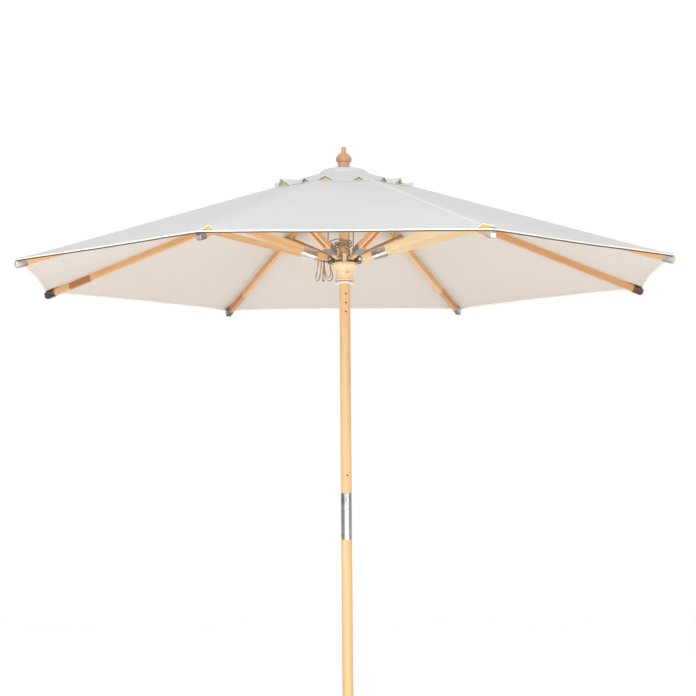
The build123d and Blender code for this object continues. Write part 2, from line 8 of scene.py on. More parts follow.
# Looks for a wooden market umbrella: cloth, rope, and the finish of every wooden and steel part.
# Metres, in the frame's axes: +Z up along the pole, -Y to the front. Ribs and struts are numbered 1 to 8
# anticlockwise from +X, seen from above.
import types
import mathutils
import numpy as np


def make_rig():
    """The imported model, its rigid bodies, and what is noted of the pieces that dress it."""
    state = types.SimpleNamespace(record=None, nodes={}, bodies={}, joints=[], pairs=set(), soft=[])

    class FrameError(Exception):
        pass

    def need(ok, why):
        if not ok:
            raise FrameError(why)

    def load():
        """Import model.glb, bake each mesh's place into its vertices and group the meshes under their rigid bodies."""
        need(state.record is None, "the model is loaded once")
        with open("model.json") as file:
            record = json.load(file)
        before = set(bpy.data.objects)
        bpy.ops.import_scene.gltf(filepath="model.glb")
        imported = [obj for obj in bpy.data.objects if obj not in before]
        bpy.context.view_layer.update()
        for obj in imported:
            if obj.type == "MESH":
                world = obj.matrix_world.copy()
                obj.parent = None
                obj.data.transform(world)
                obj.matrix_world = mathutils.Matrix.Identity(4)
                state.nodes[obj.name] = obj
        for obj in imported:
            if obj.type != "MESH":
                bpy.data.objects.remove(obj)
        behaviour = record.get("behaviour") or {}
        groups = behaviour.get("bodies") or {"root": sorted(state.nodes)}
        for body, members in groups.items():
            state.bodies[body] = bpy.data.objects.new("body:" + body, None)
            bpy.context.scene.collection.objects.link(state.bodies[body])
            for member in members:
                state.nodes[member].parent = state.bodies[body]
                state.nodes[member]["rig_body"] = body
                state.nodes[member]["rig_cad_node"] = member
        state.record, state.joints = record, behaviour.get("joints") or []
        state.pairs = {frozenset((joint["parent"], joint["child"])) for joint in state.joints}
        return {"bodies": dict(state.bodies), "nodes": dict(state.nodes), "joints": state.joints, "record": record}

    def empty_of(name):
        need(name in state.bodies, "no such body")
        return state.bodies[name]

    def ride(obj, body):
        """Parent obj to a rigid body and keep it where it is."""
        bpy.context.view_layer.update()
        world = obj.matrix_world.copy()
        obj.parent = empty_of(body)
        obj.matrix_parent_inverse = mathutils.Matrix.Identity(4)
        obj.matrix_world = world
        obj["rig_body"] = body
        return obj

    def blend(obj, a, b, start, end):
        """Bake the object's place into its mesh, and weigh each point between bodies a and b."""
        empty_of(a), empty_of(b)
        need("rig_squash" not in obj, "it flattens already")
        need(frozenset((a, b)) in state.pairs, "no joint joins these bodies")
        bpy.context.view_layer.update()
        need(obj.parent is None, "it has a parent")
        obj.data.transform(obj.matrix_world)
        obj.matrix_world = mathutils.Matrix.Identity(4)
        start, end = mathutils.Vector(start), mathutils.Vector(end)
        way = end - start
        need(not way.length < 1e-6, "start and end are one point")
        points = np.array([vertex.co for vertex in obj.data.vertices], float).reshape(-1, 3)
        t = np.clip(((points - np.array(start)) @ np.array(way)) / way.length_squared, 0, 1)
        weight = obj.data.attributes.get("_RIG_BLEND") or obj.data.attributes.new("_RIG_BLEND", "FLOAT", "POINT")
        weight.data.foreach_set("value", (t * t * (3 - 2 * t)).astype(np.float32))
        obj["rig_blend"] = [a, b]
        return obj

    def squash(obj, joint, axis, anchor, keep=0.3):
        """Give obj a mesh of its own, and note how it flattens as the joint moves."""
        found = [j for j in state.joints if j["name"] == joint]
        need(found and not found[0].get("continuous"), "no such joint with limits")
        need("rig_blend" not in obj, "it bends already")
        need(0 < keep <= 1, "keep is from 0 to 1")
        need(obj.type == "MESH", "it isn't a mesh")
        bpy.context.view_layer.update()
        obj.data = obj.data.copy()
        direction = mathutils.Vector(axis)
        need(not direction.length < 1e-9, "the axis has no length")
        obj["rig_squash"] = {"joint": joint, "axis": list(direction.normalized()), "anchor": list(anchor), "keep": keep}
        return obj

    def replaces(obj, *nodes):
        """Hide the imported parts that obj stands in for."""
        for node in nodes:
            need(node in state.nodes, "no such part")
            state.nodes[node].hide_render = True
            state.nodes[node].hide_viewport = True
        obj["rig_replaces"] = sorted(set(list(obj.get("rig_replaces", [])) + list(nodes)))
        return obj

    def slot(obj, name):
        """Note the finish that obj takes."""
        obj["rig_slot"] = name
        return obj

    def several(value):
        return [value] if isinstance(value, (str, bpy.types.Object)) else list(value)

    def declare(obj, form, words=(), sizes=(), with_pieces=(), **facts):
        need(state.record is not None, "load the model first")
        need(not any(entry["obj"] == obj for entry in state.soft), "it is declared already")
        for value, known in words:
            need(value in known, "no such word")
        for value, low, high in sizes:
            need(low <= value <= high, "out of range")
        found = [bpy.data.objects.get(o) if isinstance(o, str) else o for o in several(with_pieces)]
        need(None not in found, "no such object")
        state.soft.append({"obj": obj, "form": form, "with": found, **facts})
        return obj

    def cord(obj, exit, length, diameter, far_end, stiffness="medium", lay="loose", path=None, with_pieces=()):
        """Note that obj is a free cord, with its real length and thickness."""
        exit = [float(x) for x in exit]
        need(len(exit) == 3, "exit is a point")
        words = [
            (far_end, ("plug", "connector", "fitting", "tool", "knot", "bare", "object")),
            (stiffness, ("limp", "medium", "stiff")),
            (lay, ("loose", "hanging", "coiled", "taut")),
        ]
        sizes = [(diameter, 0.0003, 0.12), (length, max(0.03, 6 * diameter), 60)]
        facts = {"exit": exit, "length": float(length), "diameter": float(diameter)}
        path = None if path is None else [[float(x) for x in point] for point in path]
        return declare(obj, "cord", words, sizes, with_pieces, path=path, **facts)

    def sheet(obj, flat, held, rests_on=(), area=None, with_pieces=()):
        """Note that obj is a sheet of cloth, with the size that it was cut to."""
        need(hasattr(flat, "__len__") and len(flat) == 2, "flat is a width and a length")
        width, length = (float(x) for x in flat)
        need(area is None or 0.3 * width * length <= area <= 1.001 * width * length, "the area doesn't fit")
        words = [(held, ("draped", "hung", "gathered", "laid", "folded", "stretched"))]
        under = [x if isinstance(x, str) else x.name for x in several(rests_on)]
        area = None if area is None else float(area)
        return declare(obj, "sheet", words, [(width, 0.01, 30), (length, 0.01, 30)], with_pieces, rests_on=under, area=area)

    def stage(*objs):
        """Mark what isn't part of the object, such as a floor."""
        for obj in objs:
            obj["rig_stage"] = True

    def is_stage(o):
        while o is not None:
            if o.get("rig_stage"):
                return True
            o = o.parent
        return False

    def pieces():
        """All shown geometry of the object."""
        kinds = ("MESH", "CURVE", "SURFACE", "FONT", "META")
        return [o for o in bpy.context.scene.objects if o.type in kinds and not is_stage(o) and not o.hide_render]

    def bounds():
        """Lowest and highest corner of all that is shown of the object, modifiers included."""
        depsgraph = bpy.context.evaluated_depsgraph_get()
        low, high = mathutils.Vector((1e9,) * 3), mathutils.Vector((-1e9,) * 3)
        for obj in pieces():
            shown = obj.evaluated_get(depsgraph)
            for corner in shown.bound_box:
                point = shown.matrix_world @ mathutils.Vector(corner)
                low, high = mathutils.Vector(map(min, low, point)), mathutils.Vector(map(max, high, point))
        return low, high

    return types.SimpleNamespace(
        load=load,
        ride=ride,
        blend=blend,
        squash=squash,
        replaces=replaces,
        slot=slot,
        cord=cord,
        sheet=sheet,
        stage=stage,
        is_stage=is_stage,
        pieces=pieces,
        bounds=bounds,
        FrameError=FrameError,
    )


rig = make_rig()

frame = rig.load()
CAD_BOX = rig.bounds()
JOINTS = {joint["name"]: joint for joint in frame["joints"]}
SCENE = bpy.context.scene
MM = 0.001

# ---------------------------------------- sizes, from the frame where it holds them
RIBS = range(1, 9)
HALF_STEP = radians(22.5)
SIN_HALF, COS_HALF = sin(HALF_STEP), cos(HALF_STEP)
HUB_PIVOT = Vector(JOINTS["rib_1_hinge"]["pos_m"])
HUB_RADIUS, HUB_Z = hypot(HUB_PIVOT.x, HUB_PIVOT.y), HUB_PIVOT.z
STRUT_PIVOT = Vector(JOINTS["strut_1_hinge"]["pos_m"])
STRUT_RADIUS, STRUT_Z = hypot(STRUT_PIVOT.x, STRUT_PIVOT.y), STRUT_PIVOT.z
TIP_RADIUS, TIP_Z = 1.5, 1.99
RIDGE_FALL = (HUB_Z - TIP_Z) / (TIP_RADIUS - HUB_RADIUS)
RIB_SLOPE = atan2(HUB_Z - TIP_Z, TIP_RADIUS - HUB_RADIUS)
RIB_LENGTH = hypot(HUB_Z - TIP_Z, TIP_RADIUS - HUB_RADIUS)
STRUT_RISE = radians(16.1345)
CANOPY_LIFT = 19.5 * MM


def rib_azimuth(k):
    return HALF_STEP * (2 * k - 1)


def outward(angle):
    """The level direction away from the pole at that angle."""
    return Vector((cos(angle), sin(angle), 0))


def link(obj):
    SCENE.collection.objects.link(obj)
    return obj


# ---------------------------------------- camera, light and floor
LENS, SENSOR_WIDTH = 133.14, 36
EYE = (-0.0587, -11.304, 0.601)
HEADING, PITCH, ROLL = -0.36, 5.477, -0.45
FILL_SPREAD = radians(110)
# how bright the room is from front to back: (where it starts, where it ends, brightness at each)
ROOM_RISE = (-0.35, 0.85, 0.62, 1.02)
# the same towards a dark flag at each side
SIDE_FLAGS = ((-0.95, -0.55, 0.18, 1.0), (0.94, 0.60, 0.38, 1.0))
FLOOR_REACH, FLOOR_GLOW = 60, 0.38


def camera():
    data = bpy.data.cameras.new("camera")
    data.lens = LENS
    data.sensor_width = SENSOR_WIDTH
    obj = link(bpy.data.objects.new("camera", data))
    turn = Matrix.Rotation(radians(HEADING), 4, "Z") @ Matrix.Rotation(radians(90 + PITCH), 4, "X")
    obj.matrix_world = Matrix.Translation(EYE) @ turn @ Matrix.Rotation(radians(ROLL), 4, "Z")
    SCENE.camera = obj


def soft_light(name, place, aim, size, power, colour):
    data = bpy.data.lights.new(name, "AREA")
    data.shape = "RECTANGLE"
    data.size, data.size_y = size
    data.energy = power
    data.color = colour
    obj = link(bpy.data.objects.new(name, data))
    obj.location = place
    obj.rotation_euler = (Vector(aim) - Vector(place)).to_track_quat("-Z", "Y").to_euler()
    return obj


def room_fade(tree, value, low, high, start, end):
    """A smooth step from start to end as the value goes from low to high."""
    made = tree.nodes.new("ShaderNodeMapRange")
    made.interpolation_type = "SMOOTHSTEP"
    made.inputs["From Min"].default_value = low
    made.inputs["From Max"].default_value = high
    made.inputs["To Min"].default_value = start
    made.inputs["To Max"].default_value = end
    tree.links.new(value, made.inputs["Value"])
    return made.outputs[0]


def studio():
    """A pale room: bright behind the object, softer to the front and darker at both sides."""
    soft_light("key", (-1.6, -8.2, 6.5), (0, 0, 2.0), (4.5, 4.5), 425, (1.0, 0.99, 0.98))
    soft_light("strip", (2.6, -4.8, 1.6), (0, 0, 1.6), (0.7, 4.0), 38, (1.0, 0.98, 0.96))
    fill = soft_light("fill", (-0.5, -3.4, 0.2), (-0.2, 0.8, 2.2), (2.2, 1.4), 29, (1.0, 0.97, 0.94))
    fill.data.spread = FILL_SPREAD
    world = bpy.data.worlds.new("studio")
    SCENE.world = world
    world.use_nodes = True
    tree = world.node_tree
    coords = tree.nodes.new("ShaderNodeTexCoord")
    split = tree.nodes.new("ShaderNodeSeparateXYZ")
    tree.links.new(coords.outputs["Generated"], split.inputs[0])
    strength = room_fade(tree, split.outputs["Y"], *ROOM_RISE)
    for flag in SIDE_FLAGS:
        shaded = tree.nodes.new("ShaderNodeMath")
        shaded.operation = "MULTIPLY"
        tree.links.new(strength, shaded.inputs[0])
        tree.links.new(room_fade(tree, split.outputs["X"], *flag), shaded.inputs[1])
        strength = shaded.outputs[0]
    tree.links.new(strength, tree.nodes["Background"].inputs["Strength"])
    tree.nodes["Background"].inputs["Color"].default_value = (1.0, 1.0, 1.0, 1.0)
    SCENE.view_settings.view_transform = "Standard"


def floor():
    """A pale floor that glows a little, so that it meets the bright wall unseen."""
    mesh = bpy.data.meshes.new("floor")
    reach = FLOOR_REACH
    corners = [(-reach, -reach, 0), (reach, -reach, 0), (reach, reach, 0), (-reach, reach, 0)]
    mesh.from_pydata(corners, [], [(0, 1, 2, 3)])
    obj = link(bpy.data.objects.new("floor", mesh))
    shader = Shader("floor", roughness=0.9)
    cloud = shader.noise(shader.object, 0.7, detail=2)
    shader.colour(shader.ramp(cloud, [(0.3, (0.87, 0.86, 0.85)), (0.7, (0.9, 0.89, 0.88))]))
    shader.bsdf.inputs["Emission Color"].default_value = (1.0, 0.985, 0.97, 1.0)
    shader.bsdf.inputs["Emission Strength"].default_value = FLOOR_GLOW
    mesh.materials.append(shader.material)
    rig.stage(obj)


# ---------------------------------------- node materials
class Shader:
    """A material whose nodes are added one by one; each method returns the new node's output."""

    def __init__(self, name, roughness=0.5, metallic=0.0, specular=0.5, sheen=0.0):
        self.material = bpy.data.materials.new(name)
        self.material.use_nodes = True
        self.tree = self.material.node_tree
        self.bsdf = self.tree.nodes["Principled BSDF"]
        self.bsdf.inputs["Roughness"].default_value = roughness
        self.bsdf.inputs["Metallic"].default_value = metallic
        self.bsdf.inputs["Specular IOR Level"].default_value = specular
        self.bsdf.inputs["Sheen Weight"].default_value = sheen
        self.object = self.node("ShaderNodeTexCoord").outputs["Object"]

    def node(self, kind, inputs=(), **settings):
        made = self.tree.nodes.new(kind)
        for key, value in settings.items():
            setattr(made, key, value)
        for key, value in dict(inputs).items():
            if isinstance(value, bpy.types.NodeSocket):
                self.tree.links.new(value, made.inputs[key])
            else:
                made.inputs[key].default_value = value
        return made

    def attribute(self, name):
        return self.node("ShaderNodeAttribute", attribute_name=name).outputs["Vector"]

    def parts(self, vector):
        return self.node("ShaderNodeSeparateXYZ", {0: vector}).outputs

    def math(self, operation, a, b=0.0, clamp=False):
        return self.node("ShaderNodeMath", {0: a, 1: b}, operation=operation, use_clamp=clamp).outputs[0]

    def noise(self, vector, scale, detail=4.0, roughness=0.55, distortion=0.0):
        inputs = {"Vector": vector, "Scale": scale, "Detail": detail, "Roughness": roughness}
        inputs["Distortion"] = distortion
        return self.node("ShaderNodeTexNoise", inputs).outputs["Fac"]

    def local(self, place, turn):
        """Coordinates in a frame at that place, turned that way."""
        inputs = {"Vector": self.object, "Location": place, "Rotation": turn}
        return self.node("ShaderNodeMapping", inputs, vector_type="TEXTURE").outputs[0]

    def stretch(self, vector, scale):
        inputs = {"Vector": vector, "Scale": scale}
        return self.node("ShaderNodeMapping", inputs, vector_type="POINT").outputs[0]

    def fade(self, value, low, high, start=0.0, end=1.0):
        """A smooth step from start to end as the value goes from low to high."""
        inputs = {"Value": value, "From Min": low, "From Max": high, "To Min": start, "To Max": end}
        return self.node("ShaderNodeMapRange", inputs, interpolation_type="SMOOTHSTEP").outputs[0]

    def ramp(self, value, stops):
        made = self.node("ShaderNodeValToRGB", {0: value})
        elements = made.color_ramp.elements
        while len(elements) < len(stops):
            elements.new(0.5)
        for element, (place, colour) in zip(elements, stops):
            element.position = place
            element.color = (*colour, 1.0)
        return made.outputs["Color"]

    def mix(self, share, a, b, blend="MIX"):
        made = self.node("ShaderNodeMix", {0: share}, data_type="RGBA", blend_type=blend)
        for index, value in ((6, a), (7, b)):
            if isinstance(value, bpy.types.NodeSocket):
                self.tree.links.new(value, made.inputs[index])
            else:
                made.inputs[index].default_value = (*value, 1.0)
        return made.outputs[2]

    def colour(self, socket):
        self.tree.links.new(socket, self.bsdf.inputs["Base Color"])

    def rough(self, value, low, high):
        socket = self.fade(value, 0.25, 0.75, low, high)
        self.tree.links.new(socket, self.bsdf.inputs["Roughness"])

    def bump(self, height, distance, strength=1.0):
        inputs = {"Height": height, "Distance": distance, "Strength": strength}
        if self.bsdf.inputs["Normal"].links:
            inputs["Normal"] = self.bsdf.inputs["Normal"].links[0].from_socket
        normal = self.node("ShaderNodeBump", inputs).outputs["Normal"]
        self.tree.links.new(normal, self.bsdf.inputs["Normal"])


def tint(colour, factor):
    return tuple(min(1.0, c * f) for c, f in zip(colour, factor))


SPLICE_BLUR = 2 * MM


def wood(name, base, place, turn, half=None, splice=None, hole_shade_radius=None, roughness=(0.34, 0.5), bold=1.0):
    """Oiled hardwood whose grain runs along the local X axis. half is half the bar's width and height, for
    worn edges. splice is (start, end, tint) of a darker length glued in, measured along the grain. The radius
    given for the hole shade is the one inside which the wood is painted dark, a painted shade in holes and bores. bold
    is how strongly fibres and pores show."""
    shader = Shader(name)
    local = shader.local(place, turn)
    figure = shader.noise(shader.stretch(local, (1.1, 26, 26)), 1.0, detail=5, distortion=0.5)
    fibre = shader.noise(shader.stretch(local, (9, 330, 330)), 1.0, detail=3)
    pore = shader.noise(shader.stretch(local, (70, 1500, 1500)), 1.0, detail=2)
    cloud = shader.noise(shader.stretch(local, (3, 9, 9)), 1.0, detail=2)
    dark = tint(base, (0.80, 0.70, 0.58))
    pale = tint(base, (1.10, 1.15, 1.22))
    tone = shader.ramp(figure, [(0.28, dark), (0.48, base), (0.72, pale)])
    streaks = shader.fade(fibre, 0.42, 0.72, 0.0, 0.38 * bold)
    tone = shader.mix(streaks, tone, tint(dark, (0.86, 0.76, 0.66)))
    pores = shader.fade(pore, 0.60, 0.74, 0.0, 0.45 * bold)
    tone = shader.mix(pores, tone, tint(dark, (0.6, 0.5, 0.42)))
    tone = shader.mix(shader.fade(cloud, 0.35, 0.7, 0.0, 0.3), tone, tint(base, (0.96, 0.86, 0.74)))
    if splice:
        start, end, shade = splice
        along = shader.parts(local)[0]
        wobble = shader.math("MULTIPLY", shader.noise(shader.stretch(local, (0, 160, 160)), 1.0), 0.02)
        along = shader.math("ADD", along, wobble)
        begun = shader.fade(along, start, start + SPLICE_BLUR)
        not_ended = shader.fade(along, end, end + SPLICE_BLUR, 1.0, 0.0)
        inside = shader.math("MULTIPLY", begun, not_ended)
        tone = shader.mix(inside, tone, shader.mix(1.0, tone, shade, "MULTIPLY"))
    if half:
        sides = shader.parts(local)
        near = [
            shader.fade(shader.math("ABSOLUTE", sides[axis]), size - 1.6 * MM, size - 0.2 * MM)
            for axis, size in zip((1, 2), half)
        ]
        patchy = shader.fade(shader.noise(shader.stretch(local, (25, 90, 90)), 1.0), 0.4, 0.6, 0.25, 0.75)
        wear_and_shade = shader.math("MULTIPLY", shader.math("MULTIPLY", near[0], near[1]), patchy)
        tone = shader.mix(wear_and_shade, tone, tint(base, (1.18, 1.22, 1.28)))
    if hole_shade_radius:
        _, y, z = shader.parts(local)
        squares = [shader.math("MULTIPLY", side, side) for side in (y, z)]
        from_axis = shader.math("SQRT", shader.math("ADD", *squares))
        # painted shade: the wood inside this radius, in the pole's holes and bores, is made dark
        hole_shade = shader.fade(from_axis, hole_shade_radius - 1 * MM, hole_shade_radius, 0.92, 0.0)
        tone = shader.mix(hole_shade, tone, tint(dark, (0.16, 0.12, 0.10)))
    shader.colour(tone)
    shader.rough(fibre, *roughness)
    shader.bump(figure, 0.5 * MM, 0.25)
    shader.bump(fibre, 0.25 * MM, 0.4)
    return shader.material


def steel(name, base, place=(0, 0, 0), turn=(0, 0, 0), roughness=(0.16, 0.3), edge_shade=None):
    """Brushed metal, the brush marks running along the local X axis, with faint smudges. The edge shade, when
    given, is (half height, depth) of a painted shade that darkens a fitting towards its upper and lower edges."""
    shader = Shader(name, metallic=1.0)
    local = shader.local(place, turn)
    brush = shader.noise(shader.stretch(local, (12, 1400, 1400)), 1.0, detail=3)
    smudge = shader.noise(shader.stretch(local, (16, 30, 30)), 1.0, detail=4, distortion=0.8)
    low, high = tint(base, (0.88, 0.88, 0.88)), tint(base, (1.06, 1.06, 1.06))
    tone = shader.ramp(brush, [(0.3, low), (0.7, high)])
    tone = shader.mix(shader.fade(smudge, 0.5, 0.75, 0.0, 0.35), tone, tint(base, (0.80, 0.77, 0.74)))
    if edge_shade:
        reach, depth = edge_shade
        height = shader.math("ABSOLUTE", shader.parts(local)[2])
        # painted shade: darker towards the upper and lower edges, where a rounded cap turns from the light
        edge_darkening = shader.fade(height, reach * 0.45, reach, 0.0, depth)
        tone = shader.mix(edge_darkening, tone, tint(base, (0.20, 0.17, 0.16)))
    shader.colour(tone)
    shader.rough(smudge, *roughness)
    shader.bump(brush, 0.05 * MM, 0.25)
    return shader.material


def weave(shader, vector, period):
    """Crossing threads, from 0 between them to 1 on top."""
    sides = shader.parts(vector)
    waves = [shader.math("SINE", shader.math("MULTIPLY", sides[axis], 2 * pi / period)) for axis in (0, 1)]
    return shader.fade(shader.math("MULTIPLY", waves[0], waves[1]), -1.0, 1.0)


def stitches(shader, along, distance, places, pitch):
    """Rows of stitches at those distances from a seam, from 0 beside them to 1 on a stitch."""
    dash = shader.fade(shader.math("SINE", shader.math("MULTIPLY", along, 2 * pi / pitch)), -0.7, -0.1)
    rows = None
    for place in places:
        off = shader.math("ABSOLUTE", shader.math("SUBTRACT", distance, place))
        row = shader.fade(off, 0.25 * MM, 0.75 * MM, 1.0, 0.0)
        rows = row if rows is None else shader.math("MAXIMUM", rows, row)
    return shader.math("MULTIPLY", rows, dash)


SEAM_STITCHES = (2.0 * MM, 5.6 * MM)
HEM_STITCHES = (4.0 * MM, 21.0 * MM)
STITCH_PITCH = 5 * MM
WEAVE_PERIOD = 1.3 * MM
SEAM_HALF, SEAM_RISE = 7 * MM, 0.9 * MM
# the pale colour of the painted highlight along a seam
SEAM_HIGHLIGHT_TONE = (0.95, 0.95, 0.94)


def canvas(name, base, shade, thread, seam_highlight=0.0):
    """Plain-weave awning canvas. The mesh's cloth attribute holds, for each point, the distance along the
    ridge, the distance from the ridge and the distance from the hem. The seam highlight is how strongly a pale
    painted highlight shows over the seam."""
    shader = Shader(name, roughness=0.86, specular=0.25, sheen=0.12)
    cloth = shader.attribute("cloth")
    along, across, inward = shader.parts(cloth)
    threads = weave(shader, cloth, WEAVE_PERIOD)
    slub = shader.noise(shader.stretch(cloth, (40, 900, 0)), 1.0, detail=2)
    cloud = shader.noise(shader.object, 2.2, detail=3, roughness=0.5)
    dust = shader.noise(shader.object, 28.0, detail=4, roughness=0.65)
    tone = shader.mix(shader.fade(cloud, 0.3, 0.7), base, tint(base, (0.975, 0.972, 0.965)))
    tone = shader.mix(shader.fade(slub, 0.45, 0.75, 0.0, 0.25), tone, tint(base, (0.93, 0.925, 0.91)))
    # painted shade: the cloth is darker between the threads of the weave
    tone = shader.mix(shader.fade(threads, 0.1, 0.5, 0.16, 0.0), tone, shade)
    grime = shader.math("MULTIPLY", shader.fade(inward, 0.0, 0.06, 0.3, 0.0), shader.fade(dust, 0.4, 0.7))
    grime = shader.math("ADD", grime, shader.fade(across, 7 * MM, 11 * MM, 0.10, 0.0), clamp=True)
    tone = shader.mix(grime, tone, shade)
    # painted highlight: the seam strip turns pale, as where the raised seam catches the light
    tone = shader.mix(shader.fade(across, SEAM_HALF - 2 * MM, SEAM_HALF, seam_highlight, 0.0), tone, SEAM_HIGHLIGHT_TONE)
    seam = stitches(shader, along, across, SEAM_STITCHES, STITCH_PITCH)
    hem = stitches(shader, across, inward, HEM_STITCHES, STITCH_PITCH)
    sewn = shader.math("MAXIMUM", seam, hem)
    tone = shader.mix(shader.math("MULTIPLY", sewn, 0.7), tone, thread)
    shader.colour(tone)
    shader.rough(dust, 0.8, 0.92)
    shader.bump(shader.noise(shader.object, 16.0, detail=3), 1.2 * MM, 0.12)
    shader.bump(threads, 0.12 * MM, 0.35)
    shader.bump(slub, 0.1 * MM, 0.3)
    shader.bump(sewn, 0.5 * MM, 0.6)
    return shader.material


def rope_fibre(name, base):
    """Laid rope, with painted shade between its strands and dark patches along it, painted shade for where the
    coil's turns and bights shadow it. The mesh's cloth attribute holds, for each point, the distance along the rope and
    how far it stands out of the grooves."""
    shader = Shader(name, roughness=0.9, specular=0.2, sheen=0.2)
    cloth = shader.attribute("cloth")
    along, groove, _ = shader.parts(cloth)
    fuzz = shader.noise(shader.object, 1800.0, detail=3)
    patch = shader.noise(shader.object, 45.0, detail=3)
    yarn = shader.noise(shader.stretch(cloth, (260, 900, 0)), 1.0, detail=2)
    wear_and_shade = shader.noise(shader.stretch(cloth, (38, 0, 0)), 1.0, detail=1)
    tone = shader.ramp(patch, [(0.3, tint(base, (0.80, 0.74, 0.66))), (0.7, tint(base, (1.1, 1.1, 1.1)))])
    # painted shade: dark patches along the rope, for the shadows in the coil and bights
    tone = shader.mix(shader.fade(wear_and_shade, 0.42, 0.6, 0.0, 0.75), tone, tint(base, (0.24, 0.17, 0.115)))
    # painted shade: darker between the strands
    tone = shader.mix(shader.fade(groove, 0.1, 0.75, 0.85, 0.0), tone, tint(base, (0.30, 0.22, 0.15)))
    tone = shader.mix(shader.fade(yarn, 0.5, 0.8, 0.0, 0.35), tone, tint(base, (1.3, 1.3, 1.3)))
    shader.colour(tone)
    shader.rough(fuzz, 0.82, 0.95)
    shader.bump(yarn, 0.25 * MM, 0.5)
    shader.bump(fuzz, 0.1 * MM, 0.4)
    return shader.material


def moulded(name, base):
    """Plain moulded plastic with a fine grain."""
    shader = Shader(name, roughness=0.45)
    grain = shader.noise(shader.object, 900.0, detail=2)
    patch = shader.noise(shader.object, 60.0, detail=3)
    shader.colour(shader.ramp(patch, [(0.3, tint(base, (0.9, 0.89, 0.86))), (0.7, base)]))
    shader.rough(patch, 0.4, 0.55)
    shader.bump(grain, 0.08 * MM, 0.3)
    return shader.material


# ---------------------------------------- finish of the wooden and steel parts
POLE_TONE = (0.735, 0.48, 0.245)
RIB_TONE = (0.67, 0.41, 0.205)
STRUT_TONE = (0.70, 0.455, 0.235)
PALE_STRUT_TONE = (0.76, 0.60, 0.36)
PALE_STRUTS = (1, 8)
TURNED_TONE = (0.83, 0.65, 0.39)
FINIAL_TONE = (0.60, 0.325, 0.195)
STEEL_TONE = (0.80, 0.795, 0.785)
DARK_STEEL_TONE = (0.30, 0.275, 0.255)
ROPE_TONE = (0.60, 0.42, 0.245)
NYLON_TONE = (0.70, 0.67, 0.58)
UPRIGHT = (0, radians(-90), 0)
RIB_HALF = (9 * MM, 15 * MM)
STRUT_HALF = (18.5 * MM, 14 * MM)
# tone of each rib, and of most struts, against the others
RIB_TINTS = {
    1: (0.92, 0.80, 0.68), 2: (1.0, 0.98, 0.95), 3: (0.98, 0.92, 0.85), 4: (0.98, 0.97, 0.95),
    5: (1.0, 0.97, 0.93), 6: (1.0, 0.96, 0.9), 7: (1.02, 0.90, 0.78), 8: (1.0, 0.96, 0.92),
}
# how much lighter or darker each cap and each band is than the plain steel: painted reflection and shade, one tint for
# each part
CAP_REFLECTION_TINTS = {
    1: (0.42, 0.24, 0.21), 2: (0.72, 0.70, 0.68), 3: (0.36, 0.30, 0.26), 4: (0.34, 0.27, 0.20),
    5: (0.66, 0.62, 0.58), 6: (0.48, 0.44, 0.48), 7: (1.15, 1.15, 1.15), 8: (0.88, 0.85, 0.80),
}
BAND_REFLECTION_TINTS = {
    1: (0.66, 0.61, 0.56), 2: (0.45, 0.38, 0.32), 3: (0.45, 0.38, 0.32), 4: (1.10, 1.08, 1.10),
    5: (1.20, 1.20, 1.20), 6: (0.36, 0.30, 0.29), 7: (0.40, 0.37, 0.35), 8: (1.10, 1.10, 1.10),
}
# how far in and how deep the painted shade goes at the caps' upper and lower edges
CAP_EDGE_SHADE = (17 * MM, 0.85)
# the pole's outer radius is a little more than this, so only its holes and bores get the painted shade
POLE_HOLE_SHADE_RADIUS = 23.2 * MM
# the darker length spliced into a rib near its tip: (start, end, tint)
RIB_SPLICES = {
    2: (RIB_LENGTH - 0.265, RIB_LENGTH, (0.80, 0.62, 0.48)),
    3: (RIB_LENGTH - 0.233, RIB_LENGTH, (0.78, 0.60, 0.47)),
    4: (RIB_LENGTH - 0.240, RIB_LENGTH - 0.125, (0.60, 0.40, 0.27)),
}


def finish_node(name, material, slot):
    """Gives a CAD node its material and names its slot in the record."""
    node = frame["nodes"][name]
    if not node.material_slots:
        node.data.materials.append(material)
    for entry in node.material_slots:
        entry.material = material
    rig.slot(node, slot)


def finish_wood():
    """The pole and the turned parts."""
    for name in ("lower_pole", "upper_pole"):
        finish_node(name, wood(name, POLE_TONE, (0, 0, 0), UPRIGHT, hole_shade_radius=POLE_HOLE_SHADE_RADIUS), "pole_wood")
    turned = wood("turned_wood", TURNED_TONE, (0.004, 0.003, 0), UPRIGHT, roughness=(0.28, 0.42))
    for name in ("top_hub", "runner_body"):
        finish_node(name, turned, "turned_wood")
    lacquered = wood("finial_wood", FINIAL_TONE, (0.02, 0.01, 0), UPRIGHT, roughness=(0.3, 0.42), bold=0.35)
    finish_node("finial", lacquered, "finial_wood")


def finish_fittings():
    """The steel parts on the pole and the runner, and the sheaves."""
    plain = steel("steel", STEEL_TONE)
    ring = steel("ring_steel", STEEL_TONE, roughness=(0.1, 0.2))
    sleeve = steel("sleeve_steel", STEEL_TONE, roughness=(0.14, 0.24))
    for name in ("sleeve_screws", "hub_pins", "finial_stud", "runner_fasteners", "lock_pin"):
        finish_node(name, plain, "steel")
    finish_node("joint_sleeve", sleeve, "steel")
    finish_node("runner_ring", ring, "steel")
    dark = steel("dark_steel", DARK_STEEL_TONE, roughness=(0.26, 0.42))
    finish_node("strut_brackets", dark, "dark_steel")
    nylon = moulded("nylon", NYLON_TONE)
    for name in ("sheave_left", "sheave_right"):
        finish_node(name, nylon, "nylon")


